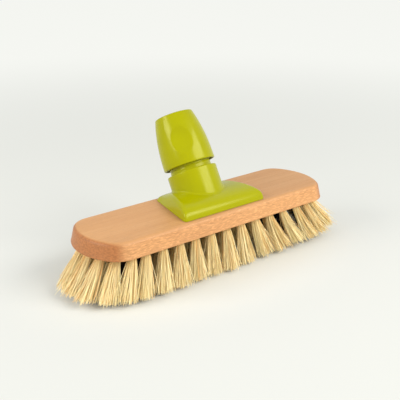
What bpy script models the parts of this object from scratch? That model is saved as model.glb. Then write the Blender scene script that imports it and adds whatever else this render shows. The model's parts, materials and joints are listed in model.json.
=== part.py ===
"""Deck brush with a beech block, tufts of natural fibre and a leaning clamp socket for a broom handle.

Metres, +Z up. The block's length runs along X, and the socket leans back towards +Y.
The brush stands on its trimmed fibre tips at z = 0, with the origin under the middle of its box.
"""
import math

import bmesh
import bpy
import numpy as np
from mathutils import Matrix, Vector

# Clearances
FIT = 0.0003            # between pieces that touch
RUN = 0.0004            # between the nut and the threaded neck that it turns on

# Wooden block, measured at its underside
BLOCK_LENGTH = 0.2352
BLOCK_WIDTH = 0.0679
BLOCK_THICKNESS = 0.0131
BLOCK_END_RADIUS = 0.0461        # of the wide arc at each end
BLOCK_CORNER_RADIUS = 0.0198     # between an end arc and the sides
BLOCK_DRAFT = math.radians(12.4) # the sides flare towards the fibres
BLOCK_TOP_ROUNDING = 0.0030
BLOCK_FOOT_ROUNDING = 0.0008
BLOCK_ARC_STEPS = 6
BLOCK_CORNER_STEPS = 6

# Fibre tufts
BRISTLE_TRIM = 0.0359   # from the block's underside to the floor
TUFT_RADIUS = 0.0030
TUFT_STEPS = 5.35       # tuft pitches from the block's middle to the centre of its round end
END_PITCH = 0.0115
EDGE_INSET = 0.0075     # from the block's side to the middle of the border tufts
END_INSET = 0.0082      # the same at the ends
ROW_GAP = 0.0130        # between rows across the block
TUFT_SPREAD = 1.28      # how much wider the field of tips is than the field of holes
TUFT_LEAN_RATIO = 0.09  # extra lean towards the nearer end, by the distance from the middle
TUFT_SIDES = 6
TUFT_FAN = 2.4          # how much wider a tuft is at its tip than in its hole
STRAND_GAP = 0.00035
STRAND_GROWTH = 1.25
HOLE_DEPTH = 0.0085
HOLE_SIDES = 10
SLICE_DEPTH = 0.0040    # thickness of the backing that a run of inner tufts shares
SLICE_MARGIN = 0.0006   # backing left round the tufts of a slice
ROOT_PROUD = 0.0003     # inner tufts stand this far out of their slice
END_TUFT_ANGLE = math.radians(42.0)
BLACK_TUFT_COUNT = 2    # black ones at each end of every inner row

# Screws that hold the socket's plate, driven up through the block
SCREW_RADIUS = 0.0020
SCREW_LENGTH = 0.0180
SCREW_HEAD_RADIUS = 0.0038
SCREW_HEAD_HEIGHT = 0.0022
SCREW_TIP_LENGTH = 0.0030
SCREW_TIP_RADIUS = 0.0006
SCREW_SINK = 0.0003
SCREW_SIDES = 20
BOSS_RADIUS = 0.0036
BOSS_SPARE_DEPTH = 0.0008

# Plate of the handle holder: a vault across Y with sloping ends
PLATE_DEPTH = 0.0551
PLATE_HALF_WIDTH = 0.0347        # at the foot, on the plate's middle line
PLATE_TAPER_RATIO = 0.240        # half width lost for each metre towards the back
RIDGE_HALF_WIDTH = 0.0302        # where the sloping ends meet the vault
RIDGE_TAPER_RATIO = 0.350
PLATE_CREST_HEIGHT = 0.0111
PLATE_CREST_Y = -0.0049
PLATE_BACK_HEIGHT = 0.0024       # of the vault over the plate's back edge
PLATE_FRONT_RAKE = 0.0010        # the front wall leans in this far at its top
PLATE_FRONT_ROUNDING = 0.0044
PLATE_CORNER_ROUNDING = 0.0033
PLATE_RIDGE_ROUNDING = 0.0024
PLATE_BACK_ROUNDING = 0.0008
PLATE_STATIONS = 9
PLATE_WALL = 0.0024
RIB_THICKNESS = 0.0016

# Socket: distances along its axis start where the axis meets the block's top
SOCKET_TILT = math.radians(29.4)
SOCKET_Y = 0.0040
COLLAR_RADIUS = 0.0205
COLLAR_TOP = 0.0246
COLLAR_EDGE = 0.0007
NECK_RADIUS = 0.0170
NECK_TOP = 0.0440
NECK_EDGE = 0.0006
SOCKET_WALL = 0.0024
HANDLE_RADIUS = 0.0120
HANDLE_PLAY = 0.0002
SEAT_FLOOR = 0.0160              # the handle's end stands here
SLEEVE_SHOULDER = 0.0270         # step in the bore below the sleeve
KEY_SLOT_FLOOR = 0.0272
TURN_SEGMENTS = 44

# Split clamping sleeve
SLEEVE_WALL = 0.0023
SLEEVE_FOOT = 0.0315
SLEEVE_HEAD = 0.0485
SLEEVE_HEAD_LAND = 0.0019
SLEEVE_HEAD_RADIUS = 0.0158
SLEEVE_CONE_TOP = 0.0655
SLEEVE_CONE_RADIUS = 0.0138
SLEEVE_BEAD_RADIUS = 0.0146
SLEEVE_BEAD_LOW = 0.0663
SLEEVE_BEAD_TOP = 0.0683
SLEEVE_TOP = 0.0689
SLEEVE_SLOT_COUNT = 6
SLEEVE_SLOT_WIDTH = 0.0016
SLEEVE_RING_TOP = 0.0380         # the slots stop here, above the unsplit ring
KEY_WIDTH = 0.0040
KEY_LENGTH = 0.0040
KEY_RADIUS = 0.0165

# Clamp nut, drawn as photographed: unscrewed a little from the collar
NUT_FOOT = 0.0297
NUT_LENGTH = 0.0425
NUT_FOOT_RADIUS = 0.0213
NUT_TOP_RADIUS = 0.0156
NUT_BELLY_POWER = 2.32
NUT_FOOT_EDGE = 0.0010
NUT_LIP_ROUNDING = 0.0008
NUT_THREAD_TOP = 0.0490
NUT_GROOVE_PLAY = 0.0004
NUT_MOUTH_PLAY = 0.0006
NUT_PROFILE_STEPS = 13
DIMPLE_COUNT = 3
DIMPLE_PHASE = math.radians(-126.0)
DIMPLE_HEIGHT = 0.0198           # above the nut's foot
DIMPLE_DEPTH = 0.0020
DIMPLE_AXES = (0.0050, 0.0200, 0.0135)   # half sizes: inwards, round and along the nut

# Worked out from the sizes above
BLOCK_FOOT = BRISTLE_TRIM
BLOCK_TOP = BLOCK_FOOT + BLOCK_THICKNESS
BORDER_RADIUS = BLOCK_WIDTH / 2 - EDGE_INSET
SPINE = BLOCK_LENGTH / 2 - END_INSET - BORDER_RADIUS
TUFT_PITCH = SPINE / TUFT_STEPS
SCREW_X = 1.5 * TUFT_PITCH
BORE_RADIUS = HANDLE_RADIUS + HANDLE_PLAY
SLEEVE_BORE_RADIUS = HANDLE_RADIUS + HANDLE_PLAY + 0.5 * HANDLE_PLAY
SLEEVE_RADIUS = SLEEVE_BORE_RADIUS + SLEEVE_WALL
NECK_BORE_RADIUS = SLEEVE_RADIUS + FIT
NUT_TOP = NUT_FOOT + NUT_LENGTH
PLATE_FALL = PLATE_CREST_HEIGHT - PLATE_BACK_HEIGHT
PLATE_VAULT_RADIUS = (PLATE_DEPTH / 2 - PLATE_CREST_Y) ** 2 / (2 * PLATE_FALL)

PARTS = "deck_brush"
CUTTERS = "deck_brush_cutters"


def clear_scene():
    for thing in list(bpy.data.objects):
        bpy.data.objects.remove(thing, do_unlink=True)


def new_collection(name):
    collection = bpy.data.collections.new(name)
    bpy.context.scene.collection.children.link(collection)
    return collection


def linear(channel):
    """One display channel from 0 to 255 as scene-linear light."""
    value = channel / 255.0
    return value / 12.92 if value <= 0.04045 else ((value + 0.055) / 1.055) ** 2.4


def material(name, colour, roughness, metallic=0.0):
    made = bpy.data.materials.new(name)
    made.use_nodes = True
    shader = made.node_tree.nodes["Principled BSDF"]
    shader.inputs["Base Color"].default_value = (*[linear(c) for c in colour], 1.0)
    shader.inputs["Roughness"].default_value = roughness
    shader.inputs["Metallic"].default_value = metallic
    return made


def add_object(name, mesh, collection, parent, finish=None):
    thing = bpy.data.objects.new(name, mesh)
    collection.objects.link(thing)
    thing.parent = parent
    if finish is not None:
        mesh.materials.append(finish)
    return thing


def add_empty(name, collection, parent=None):
    empty = bpy.data.objects.new(name, None)
    collection.objects.link(empty)
    empty.parent = parent
    return empty


def mesh_from(bm, name):
    bmesh.ops.recalc_face_normals(bm, faces=bm.faces)
    mesh = bpy.data.meshes.new(name)
    bm.to_mesh(mesh)
    bm.free()
    return mesh


def as_cutter(thing):
    thing.hide_render = True
    thing.display_type = "WIRE"
    return thing


def boolean(thing, other, operation):
    step = thing.modifiers.new(operation.lower() + "_" + other.name, "BOOLEAN")
    step.object = other
    step.operation = operation
    step.solver = "EXACT"
    return step


def shade_round(thing, angle=math.radians(35.0)):
    thing.data.shade_smooth()
    thing.data.set_sharp_from_angle(angle=angle)


def block_outline(grow=0.0):
    """The block's outline, moved outwards by grow: straight sides, wide end arcs and round corners between."""
    arc = BLOCK_END_RADIUS + grow
    corner = BLOCK_CORNER_RADIUS + grow
    centre = BLOCK_LENGTH / 2 - BLOCK_END_RADIUS
    across = BLOCK_WIDTH / 2 - BLOCK_CORNER_RADIUS
    reach = math.asin(across / (arc - corner))
    along = centre + (arc - corner) * math.cos(reach)
    end = np.linspace(-reach, reach, BLOCK_ARC_STEPS + 1)
    bend = np.linspace(reach, math.pi / 2, BLOCK_CORNER_STEPS + 1)[1:]
    upper = np.column_stack([along + corner * np.cos(bend), across + corner * np.sin(bend)])
    lower = (upper * (1.0, -1.0))[::-1]
    right = np.vstack([lower, np.column_stack([centre + arc * np.cos(end), arc * np.sin(end)]), upper])
    return np.vstack([right, -right])


def make_block(collection, cutters, parent, finish):
    draft = BLOCK_THICKNESS * math.tan(BLOCK_DRAFT)
    bm = bmesh.new()
    foot = bm.faces.new([bm.verts.new((x, y, BLOCK_FOOT)) for x, y in block_outline()])
    bmesh.ops.extrude_face_region(bm, geom=[foot], use_keep_orig=True)
    bm.verts.ensure_lookup_table()
    top = bm.verts[len(foot.verts):]
    for vert, (x, y) in zip(top, block_outline(-draft)):
        vert.co = (x, y, BLOCK_TOP)
    for height, rounding, segments in (
        (BLOCK_TOP, BLOCK_TOP_ROUNDING, 3),
        (BLOCK_FOOT, BLOCK_FOOT_ROUNDING, 1),
    ):
        rim = [e for e in bm.edges if all(abs(v.co.z - height) < 1e-6 for v in e.verts)]
        bmesh.ops.bevel(bm, geom=rim, offset=rounding, segments=segments, profile=0.5, affect="EDGES")
    block = add_object("brush_block", mesh_from(bm, "brush_block"), collection, parent, finish)
    holes = add_object("block_holes", block_holes_mesh(), cutters, parent)
    boolean(block, as_cutter(holes), "DIFFERENCE")
    shade_round(block)
    return block


def block_holes_mesh():
    """All the holes in the block: one leaning hole per border tuft, a pocket per slice, and the screw holes."""
    bm = bmesh.new()
    for root in border_roots():
        add_leaning_prism(bm, root, HOLE_SIDES, TUFT_RADIUS + FIT, -2 * FIT, HOLE_DEPTH + FIT)
    for roots in inner_groups().values():
        add_slice(bm, roots, TUFT_RADIUS + SLICE_MARGIN + FIT, BLOCK_FOOT - 2 * FIT, BLOCK_FOOT + SLICE_DEPTH + FIT)
    for x, y in screw_places():
        add_screw(bm, x, y, FIT, BLOCK_TOP + 2 * FIT)
    return mesh_from(bm, "block_holes")


def splayed_tip(root):
    """Where a tuft's tip meets the floor: tufts splay away from the block's middle line and towards the ends."""
    spine_x = max(-SPINE, min(SPINE, root.x))
    across = Vector((root.x - spine_x, root.y))
    return Vector((spine_x + TUFT_SPREAD * across.x + TUFT_LEAN_RATIO * root.x, TUFT_SPREAD * across.y, 0.0))


def border_point(distance):
    """A point on the border row, by its distance from the front middle round the right-hand end."""
    turn = (distance - SPINE) / BORDER_RADIUS
    if turn <= 0.0:
        return Vector((distance, -BORDER_RADIUS, BLOCK_FOOT))
    if turn >= math.pi:
        return Vector((2 * SPINE + math.pi * BORDER_RADIUS - distance, BORDER_RADIUS, BLOCK_FOOT))
    return Vector((SPINE + BORDER_RADIUS * math.sin(turn), -BORDER_RADIUS * math.cos(turn), BLOCK_FOOT))


def border_roots():
    """Roots of the border tufts, clockwise from the front middle as seen from below."""
    half_round = 2 * SPINE + math.pi * BORDER_RADIUS
    straight = int(TUFT_STEPS)
    last = straight * TUFT_PITCH
    steps = max(2, round((half_round - 2 * last) / END_PITCH))
    end_step = (half_round - 2 * last) / steps
    right = [border_point(k * TUFT_PITCH) for k in range(straight + 1)]
    right += [border_point(last + k * end_step) for k in range(1, steps)]
    right += [border_point(half_round - k * TUFT_PITCH) for k in range(straight, -1, -1)]
    left = [Vector((-p.x, p.y, p.z)) for p in reversed(right[1:-1])]
    return right + left


def inner_groups():
    """Roots of the inner tufts, by the name of the slice that carries them. The outer ones are black."""
    staggered = [(k + 0.5) * TUFT_PITCH for k in range(round(TUFT_STEPS) + 1)]
    middle = [x for x in staggered if x < SCREW_X - TUFT_RADIUS]
    outer = [x for x in staggered if x > SCREW_X + TUFT_RADIUS]
    reach = int(TUFT_STEPS)
    centre = [k * TUFT_PITCH for k in range(-reach, reach + 1)]
    runs = {}
    for side, y in (("front", -ROW_GAP), ("rear", ROW_GAP)):
        runs[f"black_tufts_{side}_left"] = (y, [-x for x in outer[-BLACK_TUFT_COUNT:]])
        runs[f"cream_tufts_{side}_left"] = (y, [-x for x in outer[:-BLACK_TUFT_COUNT]])
        runs[f"cream_tufts_{side}_middle"] = (y, [s * x for x in middle for s in (-1, 1)])
        runs[f"cream_tufts_{side}_right"] = (y, outer[:-BLACK_TUFT_COUNT])
        runs[f"black_tufts_{side}_right"] = (y, outer[-BLACK_TUFT_COUNT:])
    runs["black_tufts_centre_left"] = (0.0, centre[:BLACK_TUFT_COUNT])
    runs["cream_tufts_centre"] = (0.0, centre[BLACK_TUFT_COUNT:-BLACK_TUFT_COUNT])
    runs["black_tufts_centre_right"] = (0.0, centre[-BLACK_TUFT_COUNT:])
    groups = {name: [Vector((x, y, BLOCK_FOOT)) for x in xs] for name, (y, xs) in runs.items()}
    for name, sign in (("cream_tufts_end_left", -1), ("cream_tufts_end_right", 1)):
        groups[name] = [
            Vector((sign * (SPINE + ROW_GAP * math.cos(a)), ROW_GAP * math.sin(a), BLOCK_FOOT))
            for a in (-END_TUFT_ANGLE, 0.0, END_TUFT_ANGLE)
        ]
    return groups


def screw_places():
    return [(x, y) for y in (-ROW_GAP, ROW_GAP) for x in (-SCREW_X, SCREW_X)]


def add_leaning_prism(bm, root, sides, radius, low, high, fan=False):
    """A prism with level ends from root.z + low to root.z + high, whose axis runs on from the tuft's tip."""
    lean = (root - splayed_tip(root)) / root.z
    shear = Matrix.Identity(4)
    shear[0][2] = lean.x
    shear[1][2] = lean.y
    place = Matrix.Translation(root) @ shear @ Matrix.Translation((0.0, 0.0, (low + high) / 2))
    made = bmesh.ops.create_cone(
        bm, cap_ends=True, cap_tris=fan, segments=sides, radius1=radius, radius2=radius,
        depth=high - low, matrix=place,
    )
    return made["verts"]


def add_tuft(bm, root, low, high):
    """A tuft: its root is a six-sided plug, and each wedge of the plug's mouth is drawn out into one strand."""
    verts = add_leaning_prism(bm, root, TUFT_SIDES, TUFT_RADIUS, low, high, fan=True)
    mouth_height = root.z + low
    faces = {face for vert in verts for face in vert.link_faces}
    mouth = [f for f in faces if all(abs(v.co.z - mouth_height) < 1e-6 for v in f.verts)]
    bmesh.ops.inset_individual(bm, faces=mouth, thickness=STRAND_GAP, use_even_offset=True)
    tip = splayed_tip(root)
    for face in bmesh.ops.extrude_discrete_faces(bm, faces=mouth)["faces"]:
        middle = face.calc_center_median()
        spread = TUFT_FAN * (middle - root)
        for vert in face.verts:
            own = STRAND_GROWTH * (vert.co - middle)
            vert.co = (tip.x + spread.x + own.x, tip.y + spread.y + own.y, 0.0)


def add_slice(bm, roots, margin, low, high):
    """A flat slice of backing: the hull of a circle round each root, from height low to height high."""
    angles = np.linspace(0.0, 2 * math.pi, 16, endpoint=False)
    ring = [
        bm.verts.new((root.x + margin * math.cos(a), root.y + margin * math.sin(a), z))
        for root in roots for a in angles for z in (low, high)
    ]
    hull = bmesh.ops.convex_hull(bm, input=ring)
    spare = {v for v in hull["geom_interior"] + hull["geom_unused"] if isinstance(v, bmesh.types.BMVert)}
    bmesh.ops.delete(bm, geom=list(spare), context="VERTS")


def make_border_tufts(collection, parent, finish):
    for number, root in enumerate(border_roots(), start=1):
        name = f"border_tuft_{number:02d}"
        bm = bmesh.new()
        add_tuft(bm, root, 0.0, HOLE_DEPTH)
        add_object(name, mesh_from(bm, name), collection, parent, finish)


def make_inner_tufts(collection, cutters, parent, light, dark):
    for name, roots in inner_groups().items():
        backing = bmesh.new()
        add_slice(backing, roots, TUFT_RADIUS + SLICE_MARGIN, BLOCK_FOOT, BLOCK_FOOT + SLICE_DEPTH)
        finish = dark if name.startswith("black") else light
        row = add_object(name, mesh_from(backing, name), collection, parent, finish)
        tufts = bmesh.new()
        for root in roots:
            add_tuft(tufts, root, -ROOT_PROUD, SLICE_DEPTH / 2)
        strands = add_object(name + "_strands", mesh_from(tufts, name + "_strands"), cutters, parent)
        boolean(row, as_cutter(strands), "UNION")


def add_turned(bm, profile, segments, axis_place):
    """A closed turned solid from (radius, height) points that start and end on the axis."""
    low_to_high = [bm.verts.new(axis_place @ Vector((r, 0.0, z))) for r, z in profile]
    edges = [bm.edges.new(pair) for pair in zip(low_to_high, low_to_high[1:])]
    centre = axis_place @ Vector((0.0, 0.0, 0.0))
    axis = (axis_place.to_3x3() @ Vector((0.0, 0.0, 1.0))).normalized()
    made = bmesh.ops.spin(
        bm, geom=low_to_high + edges, cent=centre, axis=axis, angle=2 * math.pi, steps=segments,
        use_merge=True, use_duplicate=False,
    )
    return made


def screw_profile(clearance, top):
    """Half outline of a countersunk screw, from its head up to its tip, or of its hole up to height top."""
    foot = BLOCK_FOOT + SCREW_SINK
    shank = SCREW_RADIUS + clearance
    head = SCREW_HEAD_RADIUS + clearance
    neck = foot + SCREW_HEAD_HEIGHT
    if top is not None:
        low = BLOCK_FOOT - 2 * FIT
        return [(0.0, low), (head, low), (head, foot), (shank, neck), (shank, top), (0.0, top)]
    tip = foot + SCREW_LENGTH
    return [
        (0.0, foot), (head, foot), (shank, neck), (shank, tip - SCREW_TIP_LENGTH),
        (SCREW_TIP_RADIUS, tip), (0.0, tip),
    ]


def add_screw(bm, x, y, clearance=0.0, top=None):
    add_turned(bm, screw_profile(clearance, top), SCREW_SIDES, Matrix.Translation((x, y, 0.0)))
    bmesh.ops.remove_doubles(bm, verts=bm.verts, dist=1e-6)


def make_screws(collection, parent, finish):
    for number, (x, y) in enumerate(screw_places(), start=1):
        name = f"holder_screw_{number}"
        bm = bmesh.new()
        add_screw(bm, x, y)
        screw = add_object(name, mesh_from(bm, name), collection, parent, finish)
        shade_round(screw)


def vault_height(y):
    """Height of the plate's vault above the block, at a distance y behind the block's middle line."""
    return PLATE_CREST_HEIGHT - (y - PLATE_CREST_Y) ** 2 / (2 * PLATE_VAULT_RADIUS)


def plate_half_width(y, z):
    """Half width of the plate at y and at a height z above the block, on its sloping end."""
    foot = PLATE_HALF_WIDTH - PLATE_TAPER_RATIO * y
    ridge = RIDGE_HALF_WIDTH - RIDGE_TAPER_RATIO * y
    return foot + (ridge - foot) * z / vault_height(y)


def plate_mesh(name, inset=0.0):
    """A closed vault across Y with sloping ends, every wall moved inwards by inset and open to be cut below."""
    front, back = -PLATE_DEPTH / 2 + inset, PLATE_DEPTH / 2 - inset
    stations = [front, *np.linspace(front + 1.8 * PLATE_FRONT_ROUNDING, back, PLATE_STATIONS)]
    low = BLOCK_TOP - FIT if inset else BLOCK_TOP + FIT
    bm = bmesh.new()
    weight = bm.edges.layers.float.new("bevel_weight_edge")
    sections = []
    for y in stations:
        height = vault_height(y) - inset
        foot = plate_half_width(y, 0.0) - inset
        ridge = plate_half_width(y, height) - inset
        rake = PLATE_FRONT_RAKE if y == front else 0.0
        points = [(-foot, y, low), (-ridge, y + rake, BLOCK_TOP + height)]
        points += [(ridge, y + rake, BLOCK_TOP + height), (foot, y, low)]
        sections.append([bm.verts.new(p) for p in points])
    for near, far in zip(sections, sections[1:]):
        for a in range(4):
            b = (a + 1) % 4
            bm.faces.new([near[a], near[b], far[b], far[a]])
    bm.faces.new(sections[0])
    bm.faces.new(sections[-1])
    first, last = sections[0], sections[-1]
    ridges = [bm.edges.get((a[k], b[k])) for a, b in zip(sections, sections[1:]) for k in (1, 2)]
    uprights = [bm.edges.get((end[a], end[b])) for end in (first, last) for a, b in ((0, 1), (2, 3))]
    for edges, rounding in (
        ([bm.edges.get((first[1], first[2]))], PLATE_FRONT_ROUNDING),
        (uprights, PLATE_CORNER_ROUNDING),
        (ridges, PLATE_RIDGE_ROUNDING),
        ([bm.edges.get((last[1], last[2]))], PLATE_BACK_ROUNDING),
    ):
        for edge in edges:
            edge[weight] = rounding / PLATE_FRONT_ROUNDING
    return mesh_from(bm, name)


def turned_object(name, profile, collection, parent, finish=None):
    """A solid of revolution: an outline of (radius, height), outer side downwards, with a Screw modifier.

    An outline that starts and ends on the axis stays open there, and any other one is closed.
    """
    bm = bmesh.new()
    ring = [bm.verts.new((r, 0.0, z)) for r, z in profile]
    closing = ring[:1] if profile[0][0] > 0.0 else []
    for a, b in zip(ring, ring[1:] + closing):
        bm.edges.new((a, b))
    mesh = bpy.data.meshes.new(name)
    bm.to_mesh(mesh)
    bm.free()
    thing = add_object(name, mesh, collection, parent, finish)
    turn = thing.modifiers.new("turn", "SCREW")
    turn.steps = TURN_SEGMENTS
    turn.render_steps = TURN_SEGMENTS
    turn.use_merge_vertices = True
    turn.merge_threshold = 0.00001
    return thing


def cylinder_object(name, radius, low, high, collection, parent, sides=TURN_SEGMENTS):
    bm = bmesh.new()
    place = Matrix.Translation((0.0, 0.0, (low + high) / 2))
    bmesh.ops.create_cone(
        bm, cap_ends=True, segments=sides, radius1=radius, radius2=radius, depth=high - low, matrix=place,
    )
    return as_cutter(add_object(name, mesh_from(bm, name), collection, parent))


def add_box(bm, low, high, place=None):
    low, high = Vector(low), Vector(high)
    size = high - low
    box = Matrix.Translation((low + high) / 2) @ Matrix.Diagonal((size.x, size.y, size.z, 1.0))
    bmesh.ops.create_cube(bm, size=1.0, matrix=(place or Matrix.Identity(4)) @ box)


def box_object(name, low, high, collection, parent):
    bm = bmesh.new()
    add_box(bm, low, high)
    return as_cutter(add_object(name, mesh_from(bm, name), collection, parent))


def make_holder(collection, cutters, parent, socket, finish):
    """One moulding: plate shell, collar and slotted threaded neck, with screw bosses and ribs inside."""
    holder = add_object("handle_holder", plate_mesh("handle_holder"), collection, parent, finish)
    edge = holder.modifiers.new("round_edges", "BEVEL")
    edge.width = PLATE_FRONT_ROUNDING
    edge.segments = 3
    edge.limit_method = "WEIGHT"
    hollow = add_object("plate_hollow", plate_mesh("plate_hollow", PLATE_WALL), cutters, parent)
    boolean(holder, as_cutter(hollow), "DIFFERENCE")
    root = -2 * COLLAR_RADIUS * math.tan(SOCKET_TILT)
    room = cylinder_object(
        "collar_room", COLLAR_RADIUS - SOCKET_WALL / 2, 1.1 * root, COLLAR_TOP - SOCKET_WALL, cutters, socket,
    )
    boolean(holder, room, "DIFFERENCE")
    boolean(holder, make_collar_and_neck(cutters, socket, root), "UNION")
    boolean(holder, bosses_and_ribs(cutters, parent), "UNION")
    reach = BLOCK_LENGTH / 2
    below = box_object(
        "below_the_plate", (-reach, -reach, 0.0), (reach, reach, BLOCK_TOP + FIT), cutters, parent,
    )
    boolean(holder, below, "DIFFERENCE")
    pilots = bmesh.new()
    for x, y in screw_places():
        top = BLOCK_FOOT + SCREW_SINK + SCREW_LENGTH + BOSS_SPARE_DEPTH
        add_screw(pilots, x, y, FIT, top)
    pilot_holes = add_object("pilot_holes", mesh_from(pilots, "pilot_holes"), cutters, parent)
    boolean(holder, as_cutter(pilot_holes), "DIFFERENCE")
    shade_round(holder)
    return holder


def make_collar_and_neck(cutters, socket, root):
    """The turned part of the socket: hollow foot, floor, bore with a step, and a neck with two key slots."""
    body = turned_object(
        "collar_and_neck",
        [
            (0.0, SEAT_FLOOR), (BORE_RADIUS, SEAT_FLOOR), (BORE_RADIUS, SLEEVE_SHOULDER),
            (NECK_BORE_RADIUS, SLEEVE_SHOULDER), (NECK_BORE_RADIUS, NECK_TOP),
            (NECK_RADIUS - NECK_EDGE, NECK_TOP), (NECK_RADIUS, NECK_TOP - NECK_EDGE),
            (NECK_RADIUS, COLLAR_TOP), (COLLAR_RADIUS - COLLAR_EDGE, COLLAR_TOP),
            (COLLAR_RADIUS, COLLAR_TOP - COLLAR_EDGE), (COLLAR_RADIUS, root), (COLLAR_RADIUS - SOCKET_WALL, root),
            (COLLAR_RADIUS - SOCKET_WALL, SEAT_FLOOR - SOCKET_WALL), (0.0, SEAT_FLOOR - SOCKET_WALL),
        ],
        cutters, socket,
    )
    half = KEY_WIDTH / 2 + FIT
    slots = bmesh.new()
    for side in (-1, 1):
        ends = sorted((side * (NECK_BORE_RADIUS - SOCKET_WALL), side * (NECK_RADIUS + SOCKET_WALL)))
        add_box(slots, (ends[0], -half, KEY_SLOT_FLOOR), (ends[1], half, NECK_TOP + SOCKET_WALL))
    cutter = add_object("key_slots", mesh_from(slots, "key_slots"), cutters, socket)
    boolean(body, as_cutter(cutter), "DIFFERENCE")
    return as_cutter(body)


def bosses_and_ribs(cutters, parent):
    """Four screw bosses under the vault, and a rib on each side from the collar to the sloping end."""
    low = BLOCK_TOP + FIT
    bm = bmesh.new()
    for x, y in screw_places():
        high = BLOCK_TOP + vault_height(y) - 0.9 * PLATE_WALL
        place = Matrix.Translation((x, y, (low + high) / 2))
        bmesh.ops.create_cone(
            bm, cap_ends=True, segments=SCREW_SIDES, radius1=BOSS_RADIUS, radius2=BOSS_RADIUS,
            depth=high - low, matrix=place,
        )
    middle = SOCKET_Y / 2
    height = vault_height(middle) - PLATE_WALL / 2
    inner = COLLAR_RADIUS - 0.8 * SOCKET_WALL
    for side in (-1, 1):
        outline = [
            (side * inner, low), (side * (plate_half_width(middle, 0.0) - PLATE_WALL / 2), low),
            (side * (plate_half_width(middle, height) - PLATE_WALL / 2), BLOCK_TOP + height),
            (side * inner, BLOCK_TOP + height),
        ]
        face = bm.faces.new([bm.verts.new((x, middle - RIB_THICKNESS / 2, z)) for x, z in outline])
        grown = bmesh.ops.extrude_face_region(bm, geom=[face], use_keep_orig=True)["geom"]
        verts = [g for g in grown if isinstance(g, bmesh.types.BMVert)]
        bmesh.ops.translate(bm, verts=verts, vec=(0.0, RIB_THICKNESS, 0.0))
    return as_cutter(add_object("bosses_and_ribs", mesh_from(bm, "bosses_and_ribs"), cutters, parent))


def make_sleeve(collection, cutters, socket, finish):
    """Split sleeve: an unsplit ring with two keys, and fingers whose cone the nut squeezes onto the handle."""
    sleeve = turned_object(
        "clamping_sleeve",
        [
            (SLEEVE_BEAD_RADIUS - 2 * FIT, SLEEVE_TOP), (SLEEVE_BEAD_RADIUS, SLEEVE_BEAD_TOP),
            (SLEEVE_BEAD_RADIUS, SLEEVE_BEAD_LOW), (SLEEVE_CONE_RADIUS, SLEEVE_CONE_TOP),
            (SLEEVE_HEAD_RADIUS, SLEEVE_HEAD + SLEEVE_HEAD_LAND), (SLEEVE_HEAD_RADIUS, SLEEVE_HEAD),
            (SLEEVE_RADIUS, SLEEVE_HEAD), (SLEEVE_RADIUS, SLEEVE_FOOT), (SLEEVE_BORE_RADIUS, SLEEVE_FOOT),
            (SLEEVE_BORE_RADIUS, SLEEVE_TOP),
        ],
        collection, socket, finish,
    )
    keys = bmesh.new()
    middle = SLEEVE_FOOT + SLEEVE_WALL / 4
    for side in (-1, 1):
        ends = sorted((side * (SLEEVE_RADIUS - SLEEVE_WALL / 2), side * KEY_RADIUS))
        add_box(keys, (ends[0], -KEY_WIDTH / 2, middle), (ends[1], KEY_WIDTH / 2, middle + KEY_LENGTH))
    boolean(sleeve, as_cutter(add_object("sleeve_keys", mesh_from(keys, "sleeve_keys"), cutters, socket)), "UNION")
    slots = bmesh.new()
    for number in range(SLEEVE_SLOT_COUNT):
        turn = Matrix.Rotation(2 * math.pi * (number + 0.5) / SLEEVE_SLOT_COUNT, 4, "Z")
        half = SLEEVE_SLOT_WIDTH / 2
        low = (BORE_RADIUS - SLEEVE_WALL, -half, SLEEVE_RING_TOP)
        high = (COLLAR_RADIUS, half, SLEEVE_TOP + SLEEVE_WALL)
        add_box(slots, low, high, turn)
    slot_cutter = add_object("sleeve_slots", mesh_from(slots, "sleeve_slots"), cutters, socket)
    boolean(sleeve, as_cutter(slot_cutter), "DIFFERENCE")
    shade_round(sleeve)
    return sleeve


def nut_radius(height):
    """Outer radius of the nut: straight at its foot and drawn in towards its mouth."""
    share = (height - NUT_FOOT) / NUT_LENGTH
    return NUT_FOOT_RADIUS - (NUT_FOOT_RADIUS - NUT_TOP_RADIUS) * share ** NUT_BELLY_POWER


def nut_profile():
    """Closed outline of the nut's wall: rounded lip, belly, foot, thread, cone, bead groove and mouth."""
    bend = NUT_TOP - NUT_LIP_ROUNDING
    lip = [
        (nut_radius(bend) - NUT_LIP_ROUNDING * (1 - math.sin(a)), bend + NUT_LIP_ROUNDING * math.cos(a))
        for a in np.linspace(0.0, math.pi / 2, 5)
    ]
    belly = [(nut_radius(h), h) for h in np.linspace(bend, NUT_FOOT + NUT_FOOT_EDGE, NUT_PROFILE_STEPS)[1:]]
    foot = (NUT_FOOT_RADIUS - NUT_FOOT_EDGE, NUT_FOOT)
    thread = NECK_RADIUS + RUN
    cone_play = 2 * FIT
    mouth = SLEEVE_BORE_RADIUS + NUT_MOUTH_PLAY
    groove_low = SLEEVE_BEAD_LOW - NUT_GROOVE_PLAY
    groove_top = SLEEVE_TOP + NUT_GROOVE_PLAY
    inside = [
        (thread, NUT_FOOT), (thread, NUT_THREAD_TOP),
        (SLEEVE_HEAD_RADIUS + cone_play, SLEEVE_HEAD + SLEEVE_HEAD_LAND),
        (SLEEVE_CONE_RADIUS + cone_play, SLEEVE_CONE_TOP - NUT_GROOVE_PLAY),
        (SLEEVE_BEAD_RADIUS + NUT_GROOVE_PLAY, groove_low), (SLEEVE_BEAD_RADIUS + NUT_GROOVE_PLAY, groove_top),
        (mouth, groove_top), (mouth, NUT_TOP),
    ]
    return lip + belly + [foot] + inside


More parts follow.
